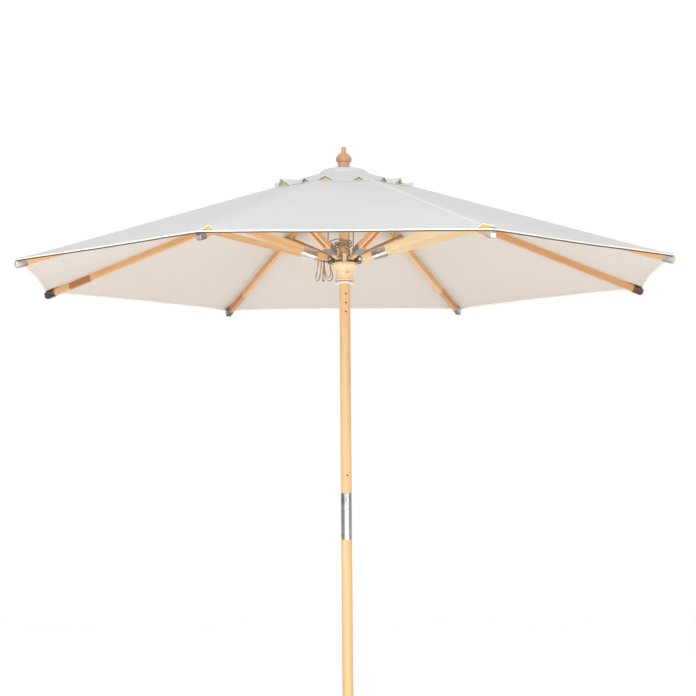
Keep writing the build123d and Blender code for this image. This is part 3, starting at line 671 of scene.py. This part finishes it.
def finish_arms():
    """Ribs, struts, caps and bands, each with its own tone."""
    for k in RIBS:
        azimuth = rib_azimuth(k)
        hub, foot = outward(azimuth) * HUB_RADIUS, outward(azimuth) * STRUT_RADIUS
        hub.z, foot.z = HUB_Z, STRUT_Z
        rib_turn, strut_turn = (0, RIB_SLOPE, azimuth), (0, -STRUT_RISE, azimuth)
        tone = tint(RIB_TONE, RIB_TINTS[k])
        rib = wood(f"rib_wood_{k}", tone, hub, rib_turn, RIB_HALF, RIB_SPLICES.get(k))
        finish_node(f"rib_{k}", rib, "rib_wood")
        strut_tone = PALE_STRUT_TONE if k in PALE_STRUTS else tint(STRUT_TONE, RIB_TINTS[k])
        strut = wood(f"strut_wood_{k}", strut_tone, foot, strut_turn, STRUT_HALF)
        finish_node(f"strut_{k}", strut, "rib_wood")
        # painted reflection and shade: each cap and band is tinted lighter or darker on its own
        cap = steel(f"cap_steel_{k}", tint(STEEL_TONE, CAP_REFLECTION_TINTS[k]), hub, rib_turn, edge_shade=CAP_EDGE_SHADE)
        finish_node(f"rib_fittings_{k}", cap, "steel")
        band = steel(f"band_steel_{k}", tint(STEEL_TONE, BAND_REFLECTION_TINTS[k]), foot, strut_turn)
        finish_node(f"strut_fittings_{k}", band, "steel")


# ---------------------------------------- meshes from grids of points
SHARP_EDGE = radians(40)


def new_piece(name, points, faces, materials, cloth=None):
    """A mesh object. faces are (corners, material index); cloth is the points' cloth attribute."""
    mesh = bpy.data.meshes.new(name)
    mesh.from_pydata(points, [], [corners for corners, _ in faces])
    for material in materials:
        mesh.materials.append(material)
    for polygon, (_, index) in zip(mesh.polygons, faces):
        polygon.material_index = index
        polygon.use_smooth = True
    if cloth:
        attribute = mesh.attributes.new("cloth", "FLOAT_VECTOR", "POINT")
        attribute.data.foreach_set("vector", [x for value in cloth for x in value])
    shape = bmesh.new()
    shape.from_mesh(mesh)
    bmesh.ops.recalc_face_normals(shape, faces=shape.faces)
    for edge in shape.edges:
        edge.smooth = edge.calc_face_angle(0.0) < SHARP_EDGE
    shape.to_mesh(mesh)
    shape.free()
    return link(bpy.data.objects.new(name, mesh))


def slab(name, top, bottom, materials, cloth, under=lambda row, column: 1):
    """A thin closed sheet between two grids of points. under gives the material index of a bottom face."""
    rows, columns = len(top), len(top[0])
    points = [p for row in top for p in row] + [p for row in bottom for p in row]
    values = [c for row in cloth for c in row] * 2
    below = rows * columns
    faces = []
    for i in range(rows - 1):
        for j in range(columns - 1):
            a, d = i * columns + j, (i + 1) * columns + j
            b, c = a + 1, d + 1
            faces.append(((a, b, c, d), 0))
            faces.append(((below + d, below + c, below + b, below + a), under(i, j)))
    rim = list(range(columns))
    rim += [i * columns + columns - 1 for i in range(1, rows)]
    rim += [(rows - 1) * columns + j for j in range(columns - 2, -1, -1)]
    rim += [i * columns for i in range(rows - 2, 0, -1)]
    for here, there in zip(rim, rim[1:] + rim[:1]):
        faces.append(((there, here, below + here, below + there), 0))
    return new_piece(name, points, faces, materials, values)


def tube_faces(rings, count, surface=lambda j: 0):
    """Faces of a tube through rings of that many points, closed at both ends. surface gives the material
    index of the faces that start at the ring's point j."""
    faces = []
    for i in range(rings - 1):
        for j in range(count):
            a, b = i * count + j, i * count + (j + 1) % count
            faces.append(((a, b, b + count, a + count), surface(j)))
    last = (rings - 1) * count
    faces.append((tuple(reversed(range(count))), 0))
    faces.append((tuple(last + j for j in range(count)), 0))
    return faces


# ---------------------------------------- cloth
CLOTH = 1.2 * MM
MAIN_INNER, MAIN_OUTER = 0.170, 1.497
VENT_INNER, VENT_OUTER = 0.106, 0.325
VENT_TOP_Z, VENT_GAP = 2.4585, 3.5 * MM
VENT_SIDE = 2 * VENT_OUTER * SIN_HALF
TENT_POWER, TENT_FADE = 1.1, 1.2
# the tents beside the two front ribs, and the usual height in mm of each gore's tents in the vent
FRONT_TENTS = {6: (38 * MM, 44 * MM, 29 * MM, 24 * MM), 7: (-40 * MM, 32 * MM, 96 * MM, 24 * MM)}
VENT_TENT_HEIGHT = {1: 16, 2: 15, 3: 15, 4: 19, 5: 25, 6: 19, 7: 18, 8: 22}
# slight waves of the cloth: (per metre, seed, height)
RIPPLES = ((5, 0.3, 1.1 * MM), (19, 4.1, 0.35 * MM))


class Tier:
    """One tier of the canopy: eight gores, each sewn along its rib and reaching half way to both neighbours.

    A point of a gore lies on the level line that leaves the ridge at a given radius, at a given distance
    along that line, to the left or right. dip is how far the hem curves in between two ribs. sag and droop
    are how far the cloth hangs there, half way out and at the hem. tents are the places where the hem stands
    up, reach is how far in they go, and lean is how much they lean out."""

    def __init__(self, inner, outer, inner_z, outer_z, dip, sag, droop, tents, reach, lean):
        self.inner, self.outer = inner, outer
        self.inner_z, self.outer_z = inner_z, outer_z
        self.dip, self.sag, self.droop = dip, sag, droop
        self.tents, self.reach, self.lean = tents, reach, lean
        self.fall = (inner_z - outer_z) / (outer - inner)

    def lift(self, k, radius, side):
        """How far the cloth stands up in a tent where its hem is left unsewn."""
        inward = (self.outer - radius) / self.reach
        if inward > 1:
            return 0.0
        height = 0.0
        for place, before, after, tall in self.tents[k]:
            off = (side - place) / after if side > place else (place - side) / before
            if off < 1:
                height = max(height, tall * (1 - off) ** TENT_POWER)
        return height * (1 - inward) ** TENT_FADE

    def point(self, k, radius, side, lifted=True):
        """A point on the cloth's underside. bow and rest grow from 0 at the ridge to 1 between two ribs."""
        half = radius * SIN_HALF
        bow = 1 - (1 - abs(side) / half) ** 2
        rest = bow**2
        t = (radius - self.inner) / (self.outer - self.inner)
        dip = self.dip * bow * t**3
        hand = 1 if side >= 0 else -1
        x = radius - abs(side) * SIN_HALF - dip * COS_HALF
        y = hand * (abs(side) * COS_HALF - dip * SIN_HALF)
        z = self.inner_z - self.fall * (radius - self.inner) + dip * self.fall / COS_HALF
        z -= (self.sag * sin(pi * min(1.0, t)) + self.droop * t * t) * rest
        azimuth = rib_azimuth(k)
        place = Vector((x * cos(azimuth) - y * sin(azimuth), x * sin(azimuth) + y * cos(azimuth), z))
        ripple = 0.0
        for rate, seed, height in RIPPLES:
            wave = noise.noise(Vector((place.x * rate, place.y * rate, seed)))
            ripple += wave * height
        place.z += ripple * min(1.0, rest * 3)
        if lifted:
            rise = self.lift(k, radius, side)
            place += outward(azimuth) * rise * self.lean
            place.z += rise
        return place


def ridge_z(radius):
    """Height of the main cloth's underside over a rib."""
    return HUB_Z + CANOPY_LIFT - (radius - HUB_RADIUS) * RIDGE_FALL


def corner_tents(k):
    """Where the cloth stands up beside the tip of each rib: (place, width before, width after, height)."""
    if k in FRONT_TENTS:
        return [FRONT_TENTS[k]]
    wander = noise.noise(Vector((k * 3.1, 0.7, 0.4)))
    place, height = (6 + 60 * wander) * MM, (8 + 6 * wander) * MM
    return [(place, 36 * MM, 40 * MM, height)]


def vent_tents(k):
    """The two places where the vent's hem is left unsewn in each gore, none quite like the next."""
    tents = []
    for index, share in enumerate((-0.27, 0.24)):
        wander = [noise.noise(Vector((k * 2.3, index * 1.9, turn * 1.3))) for turn in range(4)]
        place = VENT_SIDE * (share + 0.16 * wander[0])
        before, after = (30 + 24 * wander[1]) * MM, (32 - 24 * wander[2]) * MM
        tents.append((place, before, after, (VENT_TENT_HEIGHT[k] + 9 * wander[3]) * MM))
    return tents


MAIN = Tier(MAIN_INNER, MAIN_OUTER, ridge_z(MAIN_INNER), ridge_z(MAIN_OUTER), dip=21 * MM, sag=9 * MM,
            droop=4.5 * MM, tents={k: corner_tents(k) for k in RIBS}, reach=0.12, lean=0.0)
VENT = Tier(VENT_INNER, VENT_OUTER, VENT_TOP_Z, ridge_z(VENT_OUTER) + VENT_GAP, dip=3 * MM, sag=2 * MM,
            droop=3 * MM, tents={k: vent_tents(k) for k in RIBS}, reach=0.10, lean=0.45)

# the rib's pocket under the seam, shallower over the rib's steel cap
POCKET_HALF, POCKET_DROP, POCKET_DROP_AT_CAP = 8.5 * MM, 3.2 * MM, 1.6 * MM
CAP_REACH = 0.075
HEM_WIDTH, HEM_RISE = 25 * MM, 0.6 * MM
# distances from the ridge and from the hem at which the cloth has points, closest where it is sewn
NEAR_RIDGE = [side * MM for side in (0, 3, 5, 7, 8.5, 11, 15, 20, 26, 32, 38, 45, 54, 65, 78, 92, 108)]
NEAR_HEM = [inset * MM for inset in (0, 3, 8, 16, 24, 25.5, 34, 46, 60, 76, 95)]


def sides_of(radius, steps, hand):
    """Distances along a level line, from the rib's line to the middle between two ribs, signed by hand."""
    half = radius * SIN_HALF
    near = [side * min(1.0, half / (2 * NEAR_RIDGE[-1])) for side in NEAR_RIDGE]
    far = [near[-1] + (half - near[-1]) * (step / steps) for step in range(1, steps + 1)]
    return [hand * side for side in near + far]


def gore(name, tier, k, hand, rows, steps, materials):
    """Half a gore of a tier, from the rib's line to the next gore, with its raised seam along the rib, the
    rib's pocket below and a folded hem. hand is 1 for the half on the left as seen from the pole, or -1. The
    materials are for above, below and, on the vent, below near the hem."""
    start = tier.outer - NEAR_HEM[-1]
    radii = [tier.inner + (start - tier.inner) * row / rows for row in range(rows + 1)]
    radii += [tier.outer - inset for inset in reversed(NEAR_HEM[:-1])]
    top, bottom, cloth = [], [], []
    for radius in radii:
        inset = tier.outer - radius
        hem = HEM_RISE * (1 if inset < HEM_WIDTH else 0)
        drop = POCKET_DROP if inset > CAP_REACH else POCKET_DROP_AT_CAP
        upper, lower, values = [], [], []
        for side in sides_of(radius, steps, hand):
            place = tier.point(k, radius, side)
            seam = SEAM_RISE if abs(side) <= SEAM_HALF else 0.0
            pocket = drop if abs(side) <= POCKET_HALF and tier is MAIN else 0.0
            upper.append(place + Vector((0, 0, CLOTH + max(seam, hem))))
            lower.append(place - Vector((0, 0, max(pocket, hem))))
            values.append((radius, abs(side), inset * COS_HALF))
        top.append(upper)
        bottom.append(lower)
        cloth.append(values)

    def under(row, column):
        return 2 if tier is VENT and tier.outer - radii[row] < tier.reach else 1

    return slab(name, top, bottom, materials, cloth, under)


HEM_OUTLINE = [(-1.0, -2.4), (0.0, -6.0), (1.2, -5.6), (1.7, -0.4), (2.0, 0.4), (1.9, 3.4), (1.1, 5.0),
               (0.0, 5.4), (-0.9, 4.8), (-1.0, 1.0)]
# the outline's sides after its first and before this one are its lower front lip, a dark strip painted as the shadow
# under the hem
HEM_LIP = 3
HEM_STEPS = 30
CORNER_ROUND = 12 * MM
LINING, LINING_STEPS = 0.8 * MM, 3


def hem_facing(k, side):
    """The level direction in which the hem faces. It turns the corner close to the rib."""
    return outward(rib_azimuth(k) + HALF_STEP * max(-1.0, min(1.0, side / CORNER_ROUND)))


def hem_band(name, tier, k, hand, materials, scale):
    """The binding sewn round the hem of half a gore. Its lower front lip takes the second material, which on the main
    canopy is a painted shadow. It runs straight across under each tent.
    """
    sides = sides_of(tier.outer, HEM_STEPS, hand)
    points, cloth = [], []
    for side in sides:
        place = tier.point(k, tier.outer, side, lifted=False)
        facing = hem_facing(k, side)
        for forward, up in HEM_OUTLINE:
            points.append(place + facing * forward * MM * scale + Vector((0, 0, up * MM * scale)))
            cloth.append((side, 0.05 + up * MM, 4 * MM + (up - 1) * MM))
    faces = tube_faces(len(sides), len(HEM_OUTLINE), lambda j: 1 if 0 < j < HEM_LIP else 0)
    return new_piece(name, points, faces, materials, cloth)


def lining(name, tier, k, inset, places, foot_z, material):
    """A strip of lining cloth that closes the tents from behind. places are its distances from the rib, and
    foot_z gives the height of its lower edge."""
    radius = tier.outer - inset
    front, back, cloth = [], [], []
    for level in range(LINING_STEPS + 1):
        near, far, values = [], [], []
        for side in places:
            head = tier.point(k, radius, side) - Vector((0, 0, LINING))
            foot = foot_z(radius, side, head)
            place = Vector((head.x, head.y, foot + (head.z - foot) * level / LINING_STEPS))
            near.append(place)
            far.append(place - hem_facing(k, side) * LINING)
            values.append((side, place.z, 0.2))
        front.append(near)
        back.append(far)
        cloth.append(values)
    return slab(name, front, back, [material, material], cloth)


# the share of a half gore's width that is left when the umbrella is closed
FOLDED = 0.17


def fold(piece, k, sideways, tier):
    """Lets a piece of cloth ride its rib, and gather towards the rib's line as the umbrella closes."""
    azimuth = rib_azimuth(k)
    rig.slot(piece, "canvas")
    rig.ride(piece, f"rib_{k}")
    anchor = (tier.inner * cos(azimuth), tier.inner * sin(azimuth), tier.inner_z)
    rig.squash(piece, "runner_slide", axis=sideways, anchor=anchor, keep=FOLDED)


def across_cloth(k, hand, tier):
    """The direction across half a gore: in its own plane, square to the ridge."""
    azimuth = rib_azimuth(k)
    ridge = Vector((cos(azimuth), sin(azimuth), -tier.fall)).normalized()
    across = Vector((-sin(azimuth), cos(azimuth), 0))
    level = across * hand * COS_HALF - outward(azimuth) * SIN_HALF
    return level - ridge * level.dot(ridge)


OUTSIDE_TONES = ((0.70, 0.715, 0.71), (0.56, 0.57, 0.56), (0.80, 0.81, 0.80))
# the rib whose seam gets the painted highlight
SEAM_HIGHLIGHT_RIB = 7
MAIN_GRID, VENT_GRID = (26, 14), (8, 22)
TENT_STEPS, SCREEN_STEPS = 12, 32
CORNER_INSET, SCREEN_INSET = 10 * MM, 14 * MM


def cloths():
    """Every fabric by name: its base tone, the tone painted as shade in its hollows, which its grime also takes, and
    that of its stitches.
    """
    return {
        "outside": canvas("canvas_outside", *OUTSIDE_TONES),
        # the outside canvas with a painted highlight along the seam
        "taped": canvas("canvas_taped", *OUTSIDE_TONES, seam_highlight=0.9),
        # painted light and shade: the underside has a warmer, darker cream than the top, for the light that comes
        # through the cloth
        "inside": canvas("canvas_inside", (0.585, 0.54, 0.493), (0.49, 0.445, 0.40), (0.665, 0.625, 0.575)),
        "ochre": canvas("canvas_lining", (0.66, 0.45, 0.12), (0.46, 0.30, 0.08), (0.78, 0.60, 0.26)),
        "straw": canvas("canvas_vent_lining", (0.72, 0.66, 0.42), (0.50, 0.44, 0.26), (0.80, 0.76, 0.56)),
        "binding": canvas("canvas_binding", (0.90, 0.90, 0.88), (0.72, 0.71, 0.68), (0.94, 0.94, 0.92)),
        # painted shadow: the near-black brown of the main hem's lower lip
        "selvedge": canvas("canvas_selvedge", (0.12, 0.08, 0.055), (0.08, 0.055, 0.04), (0.18, 0.13, 0.10)),
    }


def corner_lining(k, fabric):
    """The ochre lining that closes the tent beside the tip of a rib."""
    place, before, after, _ = MAIN.tents[k][0]
    places = [place + (step / TENT_STEPS - 1) * before for step in range(TENT_STEPS)]
    places += [place + step / TENT_STEPS * after for step in range(TENT_STEPS + 1)]

    def foot_z(radius, side, head):
        return MAIN.point(k, radius, side, lifted=False).z - 0.4 * MM

    return lining(f"corner_lining_{k}", MAIN, k, CORNER_INSET, places, foot_z, fabric["ochre"])


def vent_screen(name, k, hand, fabric):
    """The straw lining that closes the tents in half a gore of the vent."""
    span = (VENT_OUTER - SCREEN_INSET) * SIN_HALF
    places = [hand * span * step / SCREEN_STEPS for step in range(SCREEN_STEPS + 1)]

    def foot_z(radius, side, head):
        return head_over_main(k, head)

    return lining(name, VENT, k, SCREEN_INSET, places, foot_z, fabric["straw"])


def half_gores(k, hand, half, corner, fabric):
    """Half a gore of each tier with its hem band and, under the vent, its lining."""
    shown = fabric["taped"] if k == SEAM_HIGHLIGHT_RIB else fabric["outside"]
    outside, inside, straw = fabric["outside"], fabric["inside"], fabric["straw"]
    main = gore(f"canopy_gore_{k}{half}", MAIN, k, hand, *MAIN_GRID, [shown, inside])
    hem = hem_band(f"canopy_hem_{k}{half}", MAIN, k, hand, [fabric["binding"], fabric["selvedge"]], 1.0)
    vent = gore(f"vent_gore_{k}{half}", VENT, k, hand, *VENT_GRID, [outside, inside, straw])
    edge = hem_band(f"vent_hem_{k}{half}", VENT, k, hand, [fabric["binding"], inside], 0.3)
    screen = vent_screen(f"vent_lining_{k}{half}", k, hand, fabric)
    for tier, pieces in ((MAIN, (main, hem)), (VENT, (vent, edge, screen))):
        sideways = across_cloth(k, hand, tier)
        for piece in pieces:
            fold(piece, k, sideways, tier)
    if hand == 1:
        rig.replaces(main, f"canopy_panel_{k}")
    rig.sheet(main, flat=(0.573, 1.40), held="stretched", rests_on=[f"rib_{k}"], area=0.4055,
             with_pieces=[hem, corner] if hand == 1 else [hem])
    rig.sheet(vent, flat=(0.1245, 0.23), held="stretched", rests_on=[main.name], area=0.01925,
             with_pieces=[edge, screen])


def canopy():
    """Both tiers, their hem bands and linings, and the crown cover."""
    fabric = cloths()
    for k in RIBS:
        azimuth = rib_azimuth(k)
        corner = corner_lining(k, fabric)
        fold(corner, k, (-sin(azimuth), cos(azimuth), 0), MAIN)
        for hand, half in ((1, "a"), (-1, "b")):
            half_gores(k, hand, half, corner, fabric)
    crown(fabric["outside"])


def head_over_main(k, head):
    """Height of the main cloth's top under a point of the vent."""
    azimuth = rib_azimuth(k)
    x = head.x * cos(azimuth) + head.y * sin(azimuth)
    y = -head.x * sin(azimuth) + head.y * cos(azimuth)
    side = abs(y) / COS_HALF
    radius = x + side * SIN_HALF
    return min(head.z - 1 * MM, MAIN.point(k, radius, side).z + CLOTH + SEAM_RISE + 0.2 * MM)


def vent_height(angle, reach):
    """Height of the vent's top at that angle and distance from the pole."""
    k = int(angle / (2 * HALF_STEP)) % len(RIBS) + 1
    lean = angle - rib_azimuth(k)
    side = abs(reach * sin(lean)) / COS_HALF
    radius = reach * cos(lean) + side * SIN_HALF
    return VENT.point(k, radius, side).z + CLOTH + 0.5 * MM


# the cap's profile: (radius, height) in mm
CROWN_RINGS = [(4.4, 2489.6), (20, 2489.5), (31, 2489.2), (45, 2486.8), (62, 2483.6), (78, 2480.2),
               (90, 2477.0), (98, 2473.4), (105, 2469.0), (110, 2464.4), (113.5, 2459.6)]
CROWN_STEPS = 96
# radii in mm: the cap lies tight inside LOOSE_FROM, and its skirt bends to the vent beyond TUCK_FROM
LOOSE_FROM, LOOSE_OVER, TUCK_FROM = 60, 50, 70
CREASE, FLUTTER, CALM_AT_RIM = 0.5, 1.6, 12


def crown(material):
    """The fabric cap over the hub, clamped by the finial, with a soft skirt that meets the vent."""
    rim, rim_z = CROWN_RINGS[-1]
    angles = [2 * pi * (step % CROWN_STEPS) / CROWN_STEPS for step in range(CROWN_STEPS + 1)]
    meets = [vent_height(angle, rim * MM) - rim_z * MM for angle in angles]
    top, bottom, cloth = [], [], []
    for radius, height in CROWN_RINGS:
        loose = max(0.0, (radius - LOOSE_FROM) / LOOSE_OVER)
        tuck = max(0.0, (radius - TUCK_FROM) / (rim - TUCK_FROM)) ** 2
        upper, lower, values = [], [], []
        for angle, meet in zip(angles, meets):
            flutter = noise.noise(Vector((cos(angle) * 1.6, sin(angle) * 1.6, 2.0))) * loose
            wave = cos(8 * angle + pi) * CREASE + flutter * FLUTTER
            crease = wave * loose * min(1.0, (rim - radius) / CALM_AT_RIM)
            r = (radius + 0.8 * crease) * MM
            z = (height + 0.9 * crease) * MM + meet * tuck
            place = Vector((r * cos(angle), r * sin(angle), z))
            upper.append(place)
            lower.append(place - Vector((0.6 * loose * cos(angle), 0.6 * loose * sin(angle), 0.9)) * MM)
            values.append((angle * 0.09, 0.03 + r, (rim - radius) * MM))
        top.append(upper)
        bottom.append(lower)
        cloth.append(values)
    obj = slab("crown_cap", top, bottom, [material, material], cloth)
    weld(obj)
    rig.slot(obj, "canvas")
    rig.ride(obj, "upper_pole")
    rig.replaces(obj, "crown_cover")
    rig.sheet(obj, flat=(0.245, 0.245), held="stretched", rests_on=["top_hub"], area=0.0436)


def weld(obj):
    """Joins the points and drops the walls where a closed strip meets itself."""
    shape = bmesh.new()
    shape.from_mesh(obj.data)
    bmesh.ops.remove_doubles(shape, verts=shape.verts, dist=0.02 * MM)
    seen, doubled = {}, []
    for face in shape.faces:
        key = frozenset(vert.index for vert in face.verts)
        if key in seen:
            doubled += [face, seen[key]]
        seen[key] = face
    bmesh.ops.delete(shape, geom=doubled, context="FACES")
    bmesh.ops.recalc_face_normals(shape, faces=shape.faces)
    shape.to_mesh(obj.data)
    shape.free()


# ---------------------------------------- rope
ROPE_RADIUS = 2.5 * MM
ROPE_STEP = 1.6 * MM
ROPE_LAY = 15 * MM
STRANDS = 3
PATH_STEP = 4 * MM
CURVE_STEPS = 10
GROOVE = 0.22
# the left fall, straight down from the hub to the coil
FALL_LEFT, FALL_LEFT_HEIGHTS = -72 * MM, (2.420, 2.33, 2.25, 2.168)
# the turns round the pole: centre, radius, how much turns differ and tilt, then their run from start to end
COIL_CENTRE, COIL_RADIUS, COIL_SPREAD, COIL_TILT = -7.5 * MM, 38 * MM, 3.9 * MM, 13 * MM
COIL_EASE = 0.35
COIL_START, COIL_TURNS, COIL_POINTS, COIL_PITCH, COIL_TOP = -0.144, 5, 16, 7.5 * MM, 2.158
# the routes below are in mm; the hanging bights come first, from the coil's end to the knot
BIGHTS = [
    (-66, 2, 2128), (-66, 2, 2104), (-67, 8, 2072), (-63, 12, 2042), (-53, 13, 2016), (-54, 11, 1994),
    (-67, 8, 1982), (-82, 5, 1989), (-90, 2, 2014), (-90, -1, 2052), (-87, -4, 2082), (-84, -6, 2098),
    (-77, -8, 2107), (-69, -8, 2104), (-65, -7, 2092), (-64, -5, 2070), (-63, -4, 2040), (-62, -5, 2014),
    (-67, -6, 1999), (-77, -8, 1997), (-84, -9, 2011), (-88, -10, 2038), (-94, -10, 2072),
    (-98, -8, 2096), (-106, -5, 2105), (-114, -1, 2096), (-116, 2, 2074), (-119, 4, 2042),
    (-125, 5, 2012), (-128, 6, 1995), (-125, 6, 1985), (-116, 6, 1984), (-111, 6, 1995),
    (-108, 5, 2015), (-104, 4, 2044), (-102, 6, 2072), (-101, 7, 2088), (-98, 9, 2100), (-88, 12, 2100),
    (-87, 14, 2086), (-92, 15, 2060), (-97, 14, 2012), (-95, 13, 1986),
]
LEAD_IN = [(-72, -1, 2161), (-67, -8, 2158), (-57, -15, 2160)]
LEAD_OUT = [(-51, 15, 2133), (-60, 9, 2134)]
FALL_RIGHT_ROUTE = [(38, 0, 2420), (39.5, -1, 2350), (40.5, -2, 2270), (40, -1.5, 2190), (38, 0, 2103)]
OVER_HUB = [(38, 0, 2420), (38.4, 0, 2436), (37, 0, 2448), (29, 0, 2454.6), (18, 0, 2454), (-20, 0, 2453),
            (-52, 0, 2454), (-63, 0, 2454.6), (-71, 0, 2448), (-72.4, 0, 2436), (-72, 0, 2420)]
KNOT_SCALE, KNOT_STEPS, KNOT_ROPE = 1.5 * MM, 72, 0.8


def in_metres(points):
    return [Vector(point) * MM for point in points]


def coil_points():
    """The turns round the pole, tight and loose by turns, each tilted the other way from the one before, so
    that they cross in front."""
    points = []
    for step in range(COIL_TURNS * COIL_POINTS):
        turn = COIL_START + step / COIL_POINTS
        angle = radians(270) + 2 * pi * turn
        swing = cos(pi * turn)
        radius = COIL_RADIUS - COIL_SPREAD * swing / (COIL_EASE + (1 - COIL_EASE) * abs(swing))
        x, y = COIL_CENTRE + radius * cos(angle), radius * sin(angle)
        points.append(Vector((x, y, COIL_TOP - COIL_PITCH * turn - COIL_TILT * swing * cos(angle))))
    return points


def nurbs_line(points):
    """Points along the smooth curve that has these control points."""
    curve = bpy.data.curves.new("route", "CURVE")
    curve.dimensions = "3D"
    curve.resolution_u = CURVE_STEPS
    spline = curve.splines.new("NURBS")
    spline.points.add(len(points) - 1)
    for control, point in zip(spline.points, points):
        control.co = (*point, 1.0)
    spline.order_u = 3
    spline.use_endpoint_u = True
    obj = link(bpy.data.objects.new("route", curve))
    mesh = bpy.data.meshes.new_from_object(obj)
    line = [vertex.co.copy() for vertex in mesh.vertices]
    bpy.data.objects.remove(obj)
    bpy.data.curves.remove(curve)
    bpy.data.meshes.remove(mesh)
    return line


def evenly(line, step):
    """The same line, as points that far apart."""
    lengths = [(b - a).length for a, b in zip(line, line[1:])]
    count = max(2, round(sum(lengths) / step))
    spacing = sum(lengths) / count
    points, gone, index = [line[0].copy()], 0.0, 0
    for number in range(1, count):
        target = number * spacing
        while gone + lengths[index] < target:
            gone += lengths[index]
            index += 1
        points.append(line[index].lerp(line[index + 1], (target - gone) / lengths[index]))
    return points + [line[-1].copy()]


def rope_tube(name, line, material, radius=ROPE_RADIUS):
    """A laid rope: three strands that twist about the line, as one closed skin."""
    line = evenly(line, ROPE_STEP)
    sides = 6 * STRANDS
    side = (line[1] - line[0]).orthogonal().normalized()
    points, cloth, gone = [], [], 0.0
    for index, place in enumerate(line):
        before, after = line[max(0, index - 1)], line[min(len(line) - 1, index + 1)]
        tangent = (after - before).normalized()
        side = (side - tangent * side.dot(tangent)).normalized()
        other = tangent.cross(side)
        gone += (place - line[max(0, index - 1)]).length
        for number in range(sides):
            angle = 2 * pi * number / sides
            lobe = abs(cos(STRANDS / 2 * (angle - 2 * pi * gone / ROPE_LAY / STRANDS)))
            out = side * cos(angle) + other * sin(angle)
            points.append(place + out * radius * (1 - GROOVE + GROOVE * lobe))
            cloth.append((gone, lobe, 0.0))
    return new_piece(name, points, tube_faces(len(line), sides), [material], cloth)


def length_of(line):
    return sum((b - a).length for a, b in zip(line, line[1:]))


def ropes():
    """The two falls, the rope over the sheaves, and the spare rope wound and hung at the runner."""
    fibre = rope_fibre("rope_fibre", ROPE_TONE)
    fall_left_route = [Vector((FALL_LEFT, 0, height)) for height in FALL_LEFT_HEIGHTS]
    left = taut_fall("rope_fall_left", fall_left_route, fibre)
    taut_fall("rope_fall_right", in_metres(FALL_RIGHT_ROUTE), fibre)
    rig.replaces(left, "rope_falls")
    over = rope_tube("rope_over_sheaves", nurbs_line(in_metres(OVER_HUB)), fibre)
    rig.slot(over, "rope")
    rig.ride(over, "upper_pole")
    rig.replaces(over, "rope_over_hub")

    route = [fall_left_route[-1]] + in_metres(LEAD_IN) + coil_points()
    route += in_metres(LEAD_OUT) + in_metres(BIGHTS)
    line = nurbs_line(route)
    hank = rope_tube("rope_hank", line, fibre)
    knot = rope_knot(line, fibre)
    for piece in (hank, knot):
        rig.slot(piece, "rope")
        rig.ride(piece, "runner")
    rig.replaces(hank, "rope_coil", "rope_bights")
    path = evenly(line, PATH_STEP)
    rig.cord(hank, exit=line[0], length=round(length_of(line), 3), diameter=2 * ROPE_RADIUS, far_end="knot",
            stiffness="limp", lay="hanging", path=path, with_pieces=[knot])


def taut_fall(name, route, material):
    """A straight fall between hub and runner, which draws out as the runner goes down."""
    line = nurbs_line(route)
    fall = rope_tube(name, line, material)
    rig.slot(fall, "rope")
    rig.blend(fall, "upper_pole", "runner", start=route[0], end=route[-1])
    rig.cord(fall, exit=line[0], length=round(length_of(line), 3), diameter=2 * ROPE_RADIUS, far_end="object",
            stiffness="limp", lay="taut", path=evenly(line, PATH_STEP))
    return fall


def rope_knot(line, material):
    """The stopper knot in the rope's end."""
    centre = line[-1]
    turns = []
    for step in range(KNOT_STEPS + 1):
        t = 2 * pi * step / KNOT_STEPS
        flat = 2 + cos(3 * t)
        turns.append(centre + KNOT_SCALE * Vector((flat * cos(2 * t), 1.3 * sin(3 * t), flat * sin(2 * t))))
    return rope_tube("rope_knot", turns, material, radius=KNOT_ROPE * ROPE_RADIUS)


# ---------------------------------------- the whole umbrella
camera()
ropes()
studio()
floor()
finish_wood()
finish_fittings()
finish_arms()
canopy()

VISUAL_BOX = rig.bounds()
with open("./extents.json", "w") as size_file:
    json.dump(
        {"cad": [list(corner) for corner in CAD_BOX], "visual": [list(corner) for corner in VISUAL_BOX]},
        size_file,
    )
